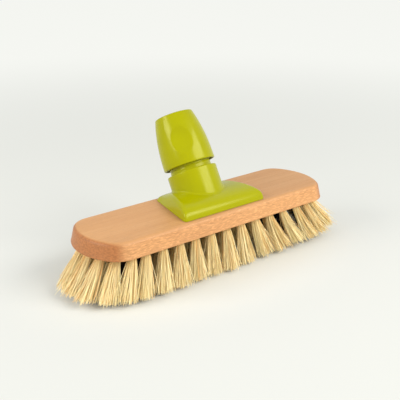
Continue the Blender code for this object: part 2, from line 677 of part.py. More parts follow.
def make_nut(collection, cutters, socket, finish):
    nut = turned_object("clamp_nut", nut_profile(), collection, socket, finish)
    dimples = bmesh.new()
    deep, wide, tall = DIMPLE_AXES
    centre = nut_radius(NUT_FOOT + DIMPLE_HEIGHT) + deep - DIMPLE_DEPTH
    for number in range(DIMPLE_COUNT):
        turn = Matrix.Rotation(DIMPLE_PHASE + 2 * math.pi * number / DIMPLE_COUNT, 4, "Z")
        place = turn @ Matrix.Translation((centre, 0.0, NUT_FOOT + DIMPLE_HEIGHT))
        shape = place @ Matrix.Diagonal((deep, wide, tall, 1.0))
        bmesh.ops.create_uvsphere(dimples, u_segments=32, v_segments=20, radius=1.0, matrix=shape)
    cutter = add_object("finger_dimples", mesh_from(dimples, "finger_dimples"), cutters, socket)
    boolean(nut, as_cutter(cutter), "DIFFERENCE")
    shade_round(nut, math.radians(30.0))
    return nut


def centre_on_floor(parts, origin):
    """Moves the whole brush in Y so that the origin lies under the middle of its box."""
    bpy.context.view_layer.update()
    graph = bpy.context.evaluated_depsgraph_get()
    low, high = math.inf, -math.inf
    for thing in parts.objects:
        if thing.type != "MESH":
            continue
        shown = thing.evaluated_get(graph)
        mesh = shown.to_mesh()
        points = np.empty(3 * len(mesh.vertices))
        mesh.vertices.foreach_get("co", points)
        turn = np.array(thing.matrix_world)
        world_y = points.reshape(-1, 3) @ turn[1, :3] + turn[1, 3]
        low, high = min(low, world_y.min()), max(high, world_y.max())
        shown.to_mesh_clear()
    origin.location.y = -(low + high) / 2
    bpy.context.view_layer.update()


def main():
    clear_scene()
    parts = new_collection(PARTS)
    cutters = new_collection(CUTTERS)
    beech = material("beech", (228, 172, 118), 0.55)
    lime = material("lime_plastic", (190, 195, 15), 0.38)
    sleeve_grey = material("sleeve_plastic", (205, 205, 200), 0.45)
    steel = material("screw_steel", (180, 182, 185), 0.35, 1.0)
    cream = material("cream_fibre", (238, 212, 150), 0.75)
    black = material("black_fibre", (30, 26, 28), 0.6)
    origin = add_empty("brush_origin", parts)
    socket = add_empty("socket_axis", parts, origin)
    socket.location = (0.0, SOCKET_Y, BLOCK_TOP)
    socket.rotation_euler = (-SOCKET_TILT, 0.0, 0.0)
    make_block(parts, cutters, origin, beech)
    make_holder(parts, cutters, origin, socket, lime)
    make_sleeve(parts, cutters, socket, sleeve_grey)
    make_nut(parts, cutters, socket, lime)
    make_screws(parts, origin, steel)
    make_border_tufts(parts, origin, cream)
    make_inner_tufts(parts, cutters, origin, cream, black)
    centre_on_floor(parts, origin)


main()
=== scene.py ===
"""Looks of the deck brush: beech block, fibre tufts, lime-green socket, floor, lights and camera.

Laid out as an add-on whose buttons each make one piece or one group of like pieces. Run as a script,
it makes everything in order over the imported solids. Lengths are in metres, +Z is up, +X runs along the
block, and the socket leans back towards +Y.
"""
import json
import math

import bmesh
import bpy
import numpy as np
from mathutils import Matrix, Vector


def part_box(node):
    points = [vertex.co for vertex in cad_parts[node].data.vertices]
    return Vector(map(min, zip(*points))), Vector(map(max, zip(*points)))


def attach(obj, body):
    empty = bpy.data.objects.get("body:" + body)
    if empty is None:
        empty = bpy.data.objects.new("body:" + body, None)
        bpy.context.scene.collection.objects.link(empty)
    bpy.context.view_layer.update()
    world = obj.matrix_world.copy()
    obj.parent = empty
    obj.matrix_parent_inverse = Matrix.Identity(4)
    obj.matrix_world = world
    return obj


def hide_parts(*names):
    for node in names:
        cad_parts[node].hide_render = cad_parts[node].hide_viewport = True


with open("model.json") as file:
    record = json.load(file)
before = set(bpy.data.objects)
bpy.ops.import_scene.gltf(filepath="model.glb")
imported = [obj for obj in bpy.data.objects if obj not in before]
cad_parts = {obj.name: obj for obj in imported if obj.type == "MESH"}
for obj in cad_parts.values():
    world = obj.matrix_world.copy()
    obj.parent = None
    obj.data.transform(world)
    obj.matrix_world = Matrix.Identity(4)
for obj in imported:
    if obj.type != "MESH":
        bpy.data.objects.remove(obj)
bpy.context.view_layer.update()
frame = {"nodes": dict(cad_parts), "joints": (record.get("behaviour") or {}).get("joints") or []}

bl_info = {
    "name": "Deck Brush",
    "version": (1, 0, 0),
    "blender": (4, 5, 0),
    "location": "3D View > Sidebar > Deck Brush",
    "description": "Makes the pieces, finishes and stage of a deck scrubbing brush",
    "category": "Object",
}

FULL_TURN = 2 * math.pi

# Places read from the solids
block_low, block_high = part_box("brush_block")
CENTRE_Y = (block_low[1] + block_high[1]) / 2
BLOCK_FOOT = block_low[2]
BLOCK_TOP = block_high[2]
screw_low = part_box("holder_screw_1")[0]
socket_joint = frame["joints"][1]
AXIS = Vector(socket_joint["axis"]).normalized()
TILT = math.asin(AXIS.y)

# Block, measured at its foot
HALF_LENGTH = 0.1176
HALF_WIDTH = 0.03395
END_RADIUS = 0.0461
CORNER_RADIUS = 0.0198
DRAFT = math.radians(12.4)
TOP_ROUNDING = 0.0037
FOOT_ROUNDING = 0.0008

# Tufts
TUFT_STEPS = 5.35
END_PITCH = 0.0115
EDGE_INSET = 0.0075
END_INSET = 0.0082
ROW_GAP = 0.0130
TUFT_SPREAD = 1.28
TUFT_LEAN = 0.09
TUFT_RADIUS = 0.0030
HOLE_RADIUS = 0.0033
HOLE_DEPTH = 0.0088
HOLE_OVERLAP = 0.0003
BORDER_RADIUS = HALF_WIDTH - EDGE_INSET
SPINE = HALF_LENGTH - END_INSET - BORDER_RADIUS
TUFT_PITCH = SPINE / TUFT_STEPS
END_TUFT_ANGLE = math.radians(42.0)
BLACK_TUFTS = 2

# Fibres: their stations, by the share of the way to the floor, and how far they wander
STATIONS = np.array([-0.13, 0.0, 0.2, 0.42, 0.64, 0.84, 1.0])
SIDES = 3
TIP_WIDTH = 0.72
TONE = (0.66, 0.30)
SIDE_FLARE = 0.45
STRAY = 0.0010
LOOSE_STRAY = 0.0031
LOOSE_SHARE = 0.20
WAVE = 0.00055
WAVE_TURNS = 5.2
SWAY = 0.0009
RIGHT_SWAY = 0.0085
UNEVEN_ENDS = 0.0016
SHORT_ENDS = 0.0040

# Plate
PLATE_DEPTH = 0.0551
PLATE_HALF_WIDTH = 0.0352
PLATE_TAPER = 0.240
RIDGE_HALF_WIDTH = 0.0322
RIDGE_TAPER = 0.335
CREST_HEIGHT = 0.0111
CREST_Y = -0.0049
BACK_HEIGHT = 0.0024
VAULT_RADIUS = (PLATE_DEPTH / 2 - CREST_Y) ** 2 / (2 * (CREST_HEIGHT - BACK_HEIGHT))
FRONT_ROUNDING = 0.0057
FRONT_RAKE = 0.0010
END_ROUNDING = 0.0034
RIDGE_ROUNDING = 0.0038
BACK_ROUNDING = 0.0010
SEAM = 0.0003

# Socket, by distance along its axis from the block's top
SOCKET_Y = 0.0040
COLLAR_RADIUS = 0.0205
COLLAR_TOP = 0.0246
COLLAR_ROUNDING = 0.0009
COLLAR_WALL = 0.0024
FILLET_REACH = 0.0016
NECK_RADIUS = 0.0170
NECK_TOP = 0.0440
BORE_RADIUS = 0.0122
NECK_BORE_RADIUS = 0.0149
SEAT_FLOOR = 0.0160
SLEEVE_SHOULDER = 0.0270
KEY_SLOT_FLOOR = 0.0272
KEY_SLOT_TOP = 0.0472
KEY_SLOT_WIDTH = 0.0046
THREAD_PITCH = 0.0040
# What the neck's thread gains in depth, and between which heights
NECK_THREAD = ((0.00028, 0.0258, 0.0274), (0.00032, 0.0320, 0.0336))

# Clamp nut
NUT_FOOT = 0.0297
NUT_LENGTH = 0.0425
NUT_TOP = NUT_FOOT + NUT_LENGTH
NUT_FOOT_RADIUS = 0.0213
NUT_TOP_RADIUS = 0.0156
NUT_CURVE = 2.32
NUT_MOUTH_RADIUS = 0.0129
NUT_THREAD_RADIUS = 0.0174
NUT_THREAD_DEPTH = 0.0005
NUT_LIP = 0.0008
NUT_EDGE = 0.0007
# Radii and heights above the thread: a step, a cone round the sleeve's fingers, a groove and the mouth
NUT_INSIDE = [(NUT_THREAD_RADIUS, 0.0490), (0.0164, 0.0504), (0.0144, 0.0651), (0.0150, 0.0659),
              (0.0150, 0.0693), (NUT_MOUTH_RADIUS, 0.0693)]
DIMPLE_HEIGHT = 0.0495
DIMPLE_TURN = math.radians(-126.0)
DIMPLE_DEPTH = 0.0024
DIMPLE_HALF_WIDTH = 0.0084
DIMPLE_HALF_LENGTH = 0.0110

# Screws, as radii and heights up from the head's flat face
SCREW_X = 1.5 * TUFT_PITCH
SHANK_RADIUS = 0.0020
SCREW_HEAD = [(0.0, 0.0), (0.0034, 0.0), (0.0038, 0.0003), (0.0021, 0.0021), (SHANK_RADIUS, 0.0026)]
SCREW_TIP = [(0.0013, 0.0162), (0.0005, 0.0178), (0.0, 0.0180)]
SCREW_PITCH = 0.0018
SCREW_THREAD_DEPTH = 0.0005
SCREW_THREAD_START = 0.0080
RECESS_BLADE = (0.0036, 0.0008, 0.0026)
COUNTERSINK_RADIUS = 0.0041
PILOT_RADIUS = 0.0023
PILOT_TOP = 0.0200

# Stage
FLOOR_REACH = 9.0
FLOOR_CORNERS = ((-1, -1), (1, -1), (1, 1), (-1, 1))
FLOOR_HEIGHT = -0.0002
SHADOW_SHAPE = (0.50, 0.80, 1.0)
TARGET = Vector((0.0, CENTRE_Y, 0.05))
KEY_PLACE = TARGET + 1.30 * Vector((0.30, -0.73, 0.61))
KEY_SIZE = (1.00, 0.48)
SIDE_PLACE = TARGET + 1.25 * Vector((-0.86, 0.23, 0.46))
SIDE_SIZE = (0.74, 0.40)
WARM = (1.0, 0.975, 0.94)
CAMERA_PLACE = (-0.391461, -0.467216 + CENTRE_Y, 0.274315)
CAMERA_TURN = (math.radians(69.781), 0.0, math.radians(-39.635))

SOCKET = Matrix.Translation((0.0, CENTRE_Y + SOCKET_Y, BLOCK_TOP)) @ Matrix.Rotation(-TILT, 4, "X")


def display(red, green, blue):
    """A colour picked from a display, 0 to 255 each, as scene-linear light."""
    channel = np.array([red, green, blue]) / 255.0
    light = np.where(channel <= 0.04045, channel / 12.92, ((channel + 0.055) / 1.055) ** 2.4)
    return tuple(float(c) for c in light)


def colour_setting(name, description, red, green, blue):
    """A colour that a user can change, with its default as it looks on a display."""
    return bpy.props.FloatVectorProperty(
        name=name, description=description, subtype="COLOR", size=3, min=0.0, max=1.0,
        default=display(red, green, blue),
    )


def number_setting(name, description, low, high, default, **more):
    """A number that a user can change."""
    return bpy.props.FloatProperty(
        name=name, description=description, min=low, max=high, default=default, **more,
    )


def count_setting(name, description, default):
    """A number of fibres that a user can change."""
    return bpy.props.IntProperty(name=name, description=description, min=10, max=250, default=default)


def shade(colour, share):
    """A colour made darker or lighter by a share, as far as white."""
    return tuple(min(1.0, c * share) for c in colour)


class WoodSettings(bpy.types.PropertyGroup):
    """Colours of the beech block."""

    pale: colour_setting("Pale wood", "Colour between the grain lines", 213, 162, 110)
    dark: colour_setting("Grain", "Colour of the grain lines and ray flecks", 204, 151, 100)
    # The ends' colour is partly beech's darker end grain and partly painted shade, as dark as an end
    # turned away from the key light looks.
    end_grain_and_shade: colour_setting("End grain", "Colour of the rounded ends", 184, 118, 70)


class PlasticSettings(bpy.types.PropertyGroup):
    """Finish of the lime-green mouldings."""

    lime: colour_setting("Lime green", "Colour of the holder and the nut", 166, 166, 0)
    gloss: number_setting("Roughness", "Roughness of the moulding", 0.0, 1.0, 0.21, subtype="FACTOR")


class FibreSettings(bpy.types.PropertyGroup):
    """Number, thickness and colours of the fibres."""

    border_count: count_setting("Border fibres", "Fibres in each border tuft", 190)
    inner_count: count_setting("Inner fibres", "Fibres in each inner tuft", 120)
    thickness: number_setting("Thickness", "Thickness of a fibre", 0.0001, 0.001, 0.00046, unit="LENGTH")
    flare: number_setting("Flare", "Width of the tips over the hole's", 1.0, 4.0, 3.1, subtype="FACTOR")
    cream: colour_setting("Cream", "Colour of the plant fibre", 255, 235, 180)
    straw: colour_setting("Straw", "Colour of the darkest plant fibres", 238, 182, 104)
    black: colour_setting("Black", "Colour of the dark fibres", 44, 34, 34)


class StageSettings(bpy.types.PropertyGroup):
    """Floor, lights and camera."""

    floor: colour_setting("Floor", "Colour of the floor", 232, 234, 229)
    backdrop: colour_setting("Backdrop", "Colour that the floor fades to further off", 249, 250, 245)
    key: number_setting("Key light", "Power of the key light", 0.0, 200.0, 13.5, unit="POWER")
    fill: number_setting("Fill light", "Power of the fill light", 0.0, 200.0, 8.6, unit="POWER")
    sky: number_setting("Room light", "Strength of the room's light", 0.0, 4.0, 0.49, subtype="FACTOR")
    focal: number_setting("Focal length", "On a 36 mm sensor", 10.0, 200.0, 72.394, unit="CAMERA")


def add_object(name, data, **settings):
    """A new object in the scene."""
    item = bpy.data.objects.new(name, data)
    bpy.context.scene.collection.objects.link(item)
    return set_all(item, settings)


def set_all(item, settings):
    """Sets properties of an item by their names, and gives it back."""
    for key, value in settings.items():
        setattr(item, key, value)
    return item


def joined(*values):
    """Coordinates put together as points."""
    return np.stack(np.broadcast_arrays(*values), axis=-1)


def ways(turn):
    """Directions at some turns, as x and y."""
    return joined(np.cos(turn), np.sin(turn))


def quarter(steps):
    """Cosine and sine at even steps over a right angle."""
    return [(math.cos(a), math.sin(a)) for a in np.linspace(0.0, math.pi / 2, steps)]


def face_grid(rows, columns, wrap_rows=False, wrap_columns=True):
    """Corners of a grid's faces: each face joins a point, its neighbour and the two below them."""
    row = np.arange(rows if wrap_rows else rows - 1)[:, None]
    column = np.arange(columns if wrap_columns else columns - 1)[None, :]
    below = (row + 1) % rows
    beside = (column + 1) % columns
    pairs = ((row, column), (row, beside), (below, beside), (below, column))
    return joined(*(line * columns + place for line, place in pairs)).reshape(-1, 4)


def turned(outline, columns):
    """Radius and height of each point of an outline that is carried round its axis, and the turns."""
    turn = np.linspace(0.0, FULL_TURN, columns, endpoint=False)
    radius = np.repeat(outline[:, :1], columns, axis=1)
    height = np.repeat(outline[:, 1:], columns, axis=1)
    return radius, height, turn[None, :]


def make_piece(name, points, faces, body, slot, finish, sharp=35.0, merge=True):
    """A piece from arrays of points and faces, with its body and finish."""
    mesh = bpy.data.meshes.new(name)
    points = np.asarray(points, dtype=np.float32).reshape(-1, 3)
    mesh.vertices.add(len(points))
    mesh.vertices.foreach_set("co", points.ravel())
    faces = np.asarray(faces, dtype=np.int32)
    sides = faces.shape[1]
    mesh.loops.add(faces.size)
    mesh.loops.foreach_set("vertex_index", faces.ravel())
    mesh.polygons.add(len(faces))
    mesh.polygons.foreach_set("loop_start", np.arange(0, faces.size, sides, dtype=np.int32))
    mesh.polygons.foreach_set("loop_total", np.full(len(faces), sides, dtype=np.int32))
    mesh.update(calc_edges=True)
    mesh.validate()
    piece = add_object(name, mesh)
    if merge:
        tidy_mesh(mesh)
    finish_piece(piece, body, slot, finish, sharp)
    return piece


def tidy_mesh(mesh, distance=1e-6):
    """Merges points that share a place, which closes seams and poles, and turns faces outwards."""
    bm = bmesh.new()
    bm.from_mesh(mesh)
    bmesh.ops.remove_doubles(bm, verts=bm.verts, dist=distance)
    bmesh.ops.dissolve_degenerate(bm, dist=distance, edges=bm.edges)
    bmesh.ops.recalc_face_normals(bm, faces=bm.faces)
    bm.to_mesh(mesh)
    bm.free()


def finish_piece(piece, body, slot, finish, sharp=35.0):
    """Gives a piece its material, sharp edges and body."""
    piece.data.materials.clear()
    piece.data.materials.append(finish)
    piece.data.shade_smooth()
    if sharp < 180.0:
        piece.data.set_sharp_from_angle(angle=math.radians(sharp))
    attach(piece, body)


def modify(piece, name, kind, **settings):
    """Makes a modifier's result the mesh of a piece."""
    set_all(piece.modifiers.new(name, kind), settings)
    graph = bpy.context.evaluated_depsgraph_get()
    piece.data = bpy.data.meshes.new_from_object(piece.evaluated_get(graph))
    piece.modifiers.clear()


def cut(piece, cutter):
    """Takes the cutter's shape out of a piece, and removes the cutter."""
    modify(piece, "cut", "BOOLEAN", object=cutter, operation="DIFFERENCE", solver="EXACT")
    bpy.data.objects.remove(cutter, do_unlink=True)


def loose_object(name, bm):
    """A helper object from a bmesh, such as a cutter."""
    bmesh.ops.recalc_face_normals(bm, faces=bm.faces)
    mesh = bpy.data.meshes.new(name)
    bm.to_mesh(mesh)
    bm.free()
    return add_object(name, mesh)


def on_socket(radius, height, turn):
    """World positions from a radius, a height along the socket's axis and a turn about it."""
    local = joined(radius * np.cos(turn), radius * np.sin(turn), height)
    place = np.array(SOCKET)
    return local @ place[:3, :3].T + place[:3, 3]


def smooth_step(value, low, high):
    """0 below low, 1 above high, and a smooth cubic between them."""
    share = np.clip((value - low) / (high - low), 0.0, 1.0)
    return share * share * (3.0 - 2.0 * share)


def vault_height(y):
    """Height of the plate's vault over the block: a parabola across it."""
    return CREST_HEIGHT - (y - CREST_Y) ** 2 / (2.0 * VAULT_RADIUS)


class NodeTree:
    """A short way to add and join the nodes of a material or a world."""

    def __init__(self, name, kind="Material"):
        self.owner = {"Material": bpy.data.materials, "World": bpy.data.worlds}[kind].new(name)
        self.owner.use_nodes = True
        self.tree = self.owner.node_tree
        self.tree.nodes.clear()
        self.output = self.add(f"ShaderNodeOutput{kind}")

    def put(self, socket, value):
        """Joins a socket to another node's output, or gives it a plain value."""
        if isinstance(value, bpy.types.NodeSocket):
            self.tree.links.new(value, socket)
        elif socket.type == "RGBA":
            socket.default_value = (*value[:3], 1.0)
        else:
            socket.default_value = value

    def add(self, kind, inputs=None, **settings):
        node = set_all(self.tree.nodes.new(kind), settings)
        for key, value in (inputs or {}).items():
            self.put(node.inputs[key], value)
        return node

    def noise(self, stretch, turn=(0.0, 0.0, 0.0), detail=3.0, roughness=0.5):
        """Noise on Object coordinates, which a Mapping node stretches and turns."""
        where = self.add("ShaderNodeTexCoord").outputs["Object"]
        mapping = self.add("ShaderNodeMapping", {"Vector": where, "Scale": stretch, "Rotation": turn})
        place = mapping.outputs["Vector"]
        inputs = {"Vector": place, "Scale": 1.0, "Detail": detail, "Roughness": roughness}
        return self.add("ShaderNodeTexNoise", inputs).outputs["Fac"]

    def ramp(self, factor, stops, interpolation="LINEAR"):
        node = self.add("ShaderNodeValToRGB", {"Fac": factor})
        node.color_ramp.interpolation = interpolation
        ramp = node.color_ramp.elements
        while len(ramp) < len(stops):
            ramp.new(0.5)
        for element, (position, value) in zip(ramp, stops):
            element.position = position
            element.color = (*value, 1.0) if isinstance(value, tuple) else (value, value, value, 1.0)
        return node.outputs["Color"]

    def mask(self, factor, low, high, interpolation="LINEAR"):
        """0 where a factor is below low, 1 where it is above high, and between them in between."""
        return self.ramp(factor, [(low, 0.0), (high, 1.0)], interpolation)

    def spread(self, noise, low, high):
        """From one value to another over the middle range of a noise, outside which it seldom goes."""
        return self.ramp(noise, [(0.3, low), (0.7, high)])

    def math(self, operation, *values):
        return self.add("ShaderNodeMath", dict(enumerate(values)), operation=operation).outputs["Value"]

    def times(self, first, *others):
        """The product of two or more values."""
        for value in others:
            first = self.math("MULTIPLY", first, value)
        return first

    def mix(self, factor, a, b, blend="MIX"):
        inputs = {0: factor, 6: a, 7: b}
        return self.add("ShaderNodeMix", inputs, data_type="RGBA", blend_type=blend).outputs[2]

    def mix_shaders(self, factor, a, b):
        return self.add("ShaderNodeMixShader", {0: factor, 1: a.outputs[0], 2: b.outputs[0]})

    def seen_rays(self):
        """1 for rays from the camera, reflections and clear materials, and 0 for the rest."""
        rays = self.add("ShaderNodeLightPath").outputs
        reflected = self.math("MAXIMUM", rays["Is Glossy Ray"], rays["Is Transmission Ray"])
        return self.math("MAXIMUM", rays["Is Camera Ray"], reflected)

    def bump(self, height, strength, distance):
        inputs = {"Height": height, "Strength": strength, "Distance": distance}
        return self.add("ShaderNodeBump", inputs).outputs["Normal"]

    def length(self, vector):
        return self.add("ShaderNodeVectorMath", {0: vector}, operation="LENGTH").outputs["Value"]

    def finish(self, shader):
        """Joins the last shader to the output, and gives back the material or the world."""
        self.put(self.output.inputs["Surface"], shader.outputs[0])
        return self.owner

    def surface(self, **inputs):
        inputs = {key.replace("_", " "): value for key, value in inputs.items()}
        return self.finish(self.add("ShaderNodeBsdfPrincipled", inputs))


def beech_finish(settings):
    """Beech: long grain lines, short pores, light and dark ray flecks on the sides, and darker ends,
    which are partly end grain and partly painted shade.
    """
    wood = NodeTree("beech")
    dark, pale, end_pale = tuple(settings.dark), tuple(settings.pale), tuple(settings.end_grain_and_shade)
    lines = wood.noise((16.0, 620.0, 620.0), (0.0, 0.02, 0.020), 5.0, 0.66)
    broad = wood.noise((4.0, 60.0, 60.0), (0.0, 0.03, 0.030))
    grain = wood.math("ADD", wood.times(lines, 0.6), wood.times(broad, 0.4))
    colour = wood.ramp(grain, [(0.36, dark), (0.62, pale)])
    pores = wood.mask(wood.noise((260.0, 2100.0, 2100.0), (0.0, 0.02, 0.020), 1.0), 0.58, 0.68)
    colour = wood.mix(wood.times(pores, 0.30), colour, shade(dark, 0.70))
    geometry = wood.add("ShaderNodeNewGeometry")
    normal = wood.add("ShaderNodeSeparateXYZ", {"Vector": geometry.outputs["Normal"]})
    side = wood.mask(wood.math("ABSOLUTE", normal.outputs["Y"]), 0.45, 0.90)
    ends = wood.mask(wood.math("ABSOLUTE", normal.outputs["X"]), 0.24, 0.60)
    flecks = wood.mask(wood.noise((210.0, 600.0, 1100.0), (0.0, -0.20, 0.0), 1.5), 0.54, 0.66)
    colour = wood.mix(wood.times(side, flecks, 0.52), colour, shade(dark, 0.78))
    flecks = wood.mask(wood.noise((260.0, 700.0, 1250.0), (0.0, -0.17, 0.0), 1.5), 0.50, 0.64)
    colour = wood.mix(wood.times(side, flecks, 0.78), colour, shade(pale, 1.24))
    colour = wood.mix(side, colour, wood.mix(1.0, colour, (1.05, 1.01, 0.99), "MULTIPLY"))
    speckle = wood.noise((500.0, 520.0, 900.0), detail=2.0)
    # Painted shade: the ends get a colour darker than end grain alone, as an end turned away from the key
    # light looks.
    end_colour = wood.ramp(speckle, [(0.36, shade(end_pale, 0.72)), (0.62, end_pale)])
    colour = wood.mix(wood.times(ends, 0.88), colour, end_colour)
    clouds = wood.noise((9.0, 26.0, 26.0), detail=2.0)
    clouds = wood.spread(clouds, (0.95, 0.93, 0.92), (1.03, 1.03, 1.02))
    height = wood.math("SUBTRACT", wood.times(lines, 0.5), pores)
    return wood.surface(
        Base_Color=wood.mix(1.0, colour, clouds, "MULTIPLY"),
        Roughness=wood.spread(grain, 0.50, 0.36), Normal=wood.bump(height, 0.20, 0.0002),
        Specular_IOR_Level=0.26,
    )


def lime_finish(settings, name="lime_plastic"):
    """Moulded plastic with a faintly cloudy colour, a fine texture and hair scratches."""
    plastic = NodeTree(name)
    lime, gloss = tuple(settings.lime), settings.gloss
    clouds = plastic.noise((70.0, 70.0, 70.0), detail=2.0)
    texture = plastic.noise((2600.0, 2600.0, 2600.0), detail=2.0)
    scratches = plastic.noise((60.0, 1500.0, 700.0), (0.4, 0.3, 0.9), 1.0)
    scratches = plastic.mask(scratches, 0.68, 0.74)
    roughness = plastic.spread(clouds, gloss - 0.04, gloss + 0.06)
    roughness = plastic.mix(plastic.times(scratches, 0.3), roughness, (gloss + 0.25,) * 3)
    height = plastic.math("SUBTRACT", plastic.times(texture, 0.4), scratches)
    return plastic.surface(
        Base_Color=plastic.mix(clouds, shade(lime, 0.94), shade(lime, 1.05)),
        Roughness=roughness, Normal=plastic.bump(height, 0.10, 0.0001),
        Specular_IOR_Level=0.26, Specular_Tint=(1.0, 1.0, 0.48),
    )


def sleeve_finish():
    """Natural polypropylene: milky white with a soft sheen."""
    plastic = NodeTree("sleeve_plastic")
    clouds = plastic.noise((120.0, 120.0, 120.0), detail=2.0)
    lines = plastic.noise((300.0, 300.0, 2400.0), detail=2.0)
    return plastic.surface(
        Base_Color=plastic.mix(clouds, display(206, 206, 198), display(224, 224, 218)),
        Roughness=plastic.spread(clouds, 0.40, 0.52), Normal=plastic.bump(lines, 0.08, 0.0001),
        Subsurface_Weight=0.15, Subsurface_Radius=(0.002, 0.002, 0.002), Subsurface_Scale=0.6,
    )


def screw_finish():
    """Zinc-plated steel with fine turning lines and a few dull spots."""
    steel = NodeTree("screw_steel")
    spots = steel.noise((900.0, 900.0, 900.0))
    lines = steel.noise((300.0, 300.0, 9000.0), detail=2.0)
    return steel.surface(
        Base_Color=steel.mix(spots, display(168, 168, 164), display(206, 207, 205)),
        Roughness=steel.spread(spots, 0.26, 0.45), Normal=steel.bump(lines, 0.10, 0.00005), Metallic=1.0,
    )


def fibre_finish(name, pale, dark, roughness):
    """Plant fibre: each fibre has its own tone and is mottled along its length, and painted shade darkens
    it towards its root.
    """
    pale, dark = tuple(pale), tuple(dark)
    fibre = NodeTree(name)
    tone = fibre.add("ShaderNodeAttribute", attribute_name="tone").outputs["Fac"]
    along = fibre.add("ShaderNodeAttribute", attribute_name="along").outputs["Fac"]
    mottle = fibre.noise((400.0, 400.0, 160.0), detail=2.0)
    share = fibre.math("ADD", fibre.times(tone, 0.85), fibre.times(mottle, 0.25))
    colour = fibre.ramp(share, [(0.05, dark), (0.60, pale), (1.0, shade(pale, 1.05))])
    # Painted shade: the colour is darkened near the root, where the block and the other fibres shade it.
    root = fibre.ramp(along, [(0.05, (0.96, 0.87, 0.74)), (0.50, (1.0, 1.0, 1.0))])
    return fibre.surface(
        Base_Color=fibre.mix(1.0, colour, root, "MULTIPLY"), Specular_IOR_Level=0.3,
        Roughness=fibre.spread(mottle, roughness - 0.06, roughness + 0.08),
        Normal=fibre.bump(mottle, 0.15, 0.0001), Sheen_Weight=0.45, Sheen_Roughness=0.5,
        Sheen_Tint=tuple(c ** 0.5 for c in pale),
    )


def block_outline():
    """Outline of the block's foot, and its outward directions.

    Each end is three arcs that meet smoothly: a corner, the wide end arc and the other corner. The sides
    between them are straight.
    """
    middle = HALF_LENGTH - END_RADIUS
    across = HALF_WIDTH - CORNER_RADIUS
    reach = math.asin(across / (END_RADIUS - CORNER_RADIUS))
    end = np.linspace(-reach, reach, 29)
    bend = np.linspace(reach, math.pi / 2, 16)[1:]
    turn = np.concatenate([-bend[::-1], end, bend])
    way = ways(turn)
    corner_x = middle + (END_RADIUS - CORNER_RADIUS) * math.cos(reach)
    round_end = np.abs(turn)[:, None] <= reach + 1e-9
    corner = joined(corner_x, np.sign(turn) * across) + CORNER_RADIUS * way
    right = np.where(round_end, np.array([middle, 0.0]) + END_RADIUS * way, corner)
    x = np.linspace(corner_x, -corner_x, 21)[1:-1]
    top = joined(x, HALF_WIDTH)
    up = np.tile([0.0, 1.0], (len(x), 1))
    return np.concatenate([right, top, -right, -top]), np.concatenate([way, up, -way, -up])


def block_sections():
    """Rings of the block: the share of the way to its middle line, the inset and the height of each.

    They run from the middle of the foot out to its edge, up the leaning wall and in over the top.
    """
    foot, top, lean = BLOCK_FOOT, BLOCK_TOP, math.tan(DRAFT)
    rows = [(share, FOOT_ROUNDING, foot) for share in (1.0, 0.75, 0.5, 0.25, 0.08)]
    rows += [(0.0, FOOT_ROUNDING * (1 - s), foot + FOOT_ROUNDING * (1 - c)) for c, s in quarter(4)]
    shoulder = top - TOP_ROUNDING * (1 - math.sin(DRAFT))
    wall = np.linspace(foot + 2 * FOOT_ROUNDING, shoulder, 4)[:-1]
    rows += [(0.0, (h - foot) * lean, h) for h in wall]
    middle = (shoulder - foot) * lean + TOP_ROUNDING * math.cos(DRAFT)
    rows += [(0.0, middle - TOP_ROUNDING * math.cos(a), top - TOP_ROUNDING * (1 - math.sin(a)))
             for a in np.linspace(DRAFT, math.pi / 2, 9)]
    rows += [(share, middle, top) for share in (0.05, 0.25, 0.5, 0.75, 1.0)]
    return rows


def on_middle_line(points, end):
    """The nearest points on the block's middle line, which ends at the same distance on both sides."""
    return joined(np.clip(points[:, 0], -end, end), 0.0)


def block_points():
    """Every ring of the block's surface as world positions."""
    edge, outward = block_outline()
    spine = on_middle_line(edge, HALF_LENGTH - HALF_WIDTH)
    share, inset, height = (np.array(values)[:, None, None] for values in zip(*block_sections()))
    flat = (edge - inset * outward) * (1.0 - share) + spine * share
    return joined(flat[..., 0], flat[..., 1] + CENTRE_Y, height[..., 0])


def border_point(distance):
    """A point on the border row, by its distance from the front middle round the right-hand end."""
    turn = (distance - SPINE) / BORDER_RADIUS
    if turn <= 0.0:
        return (distance, -BORDER_RADIUS)
    if turn >= math.pi:
        return (2 * SPINE + math.pi * BORDER_RADIUS - distance, BORDER_RADIUS)
    return (SPINE + BORDER_RADIUS * math.sin(turn), -BORDER_RADIUS * math.cos(turn))


def border_roots():
    """Roots of the border tufts in the order of their nodes, as x and y from the block's middle."""
    half_round = 2 * SPINE + math.pi * BORDER_RADIUS
    straight = int(TUFT_STEPS)
    last = straight * TUFT_PITCH
    steps = max(2, round((half_round - 2 * last) / END_PITCH))
    end_step = (half_round - 2 * last) / steps
    right = [border_point(k * TUFT_PITCH) for k in range(straight + 1)]
    right += [border_point(last + k * end_step) for k in range(1, steps)]
    right += [border_point(half_round - k * TUFT_PITCH) for k in range(straight, -1, -1)]
    left = [(-x, y) for x, y in reversed(right[1:-1])]
    return np.array(right + left)


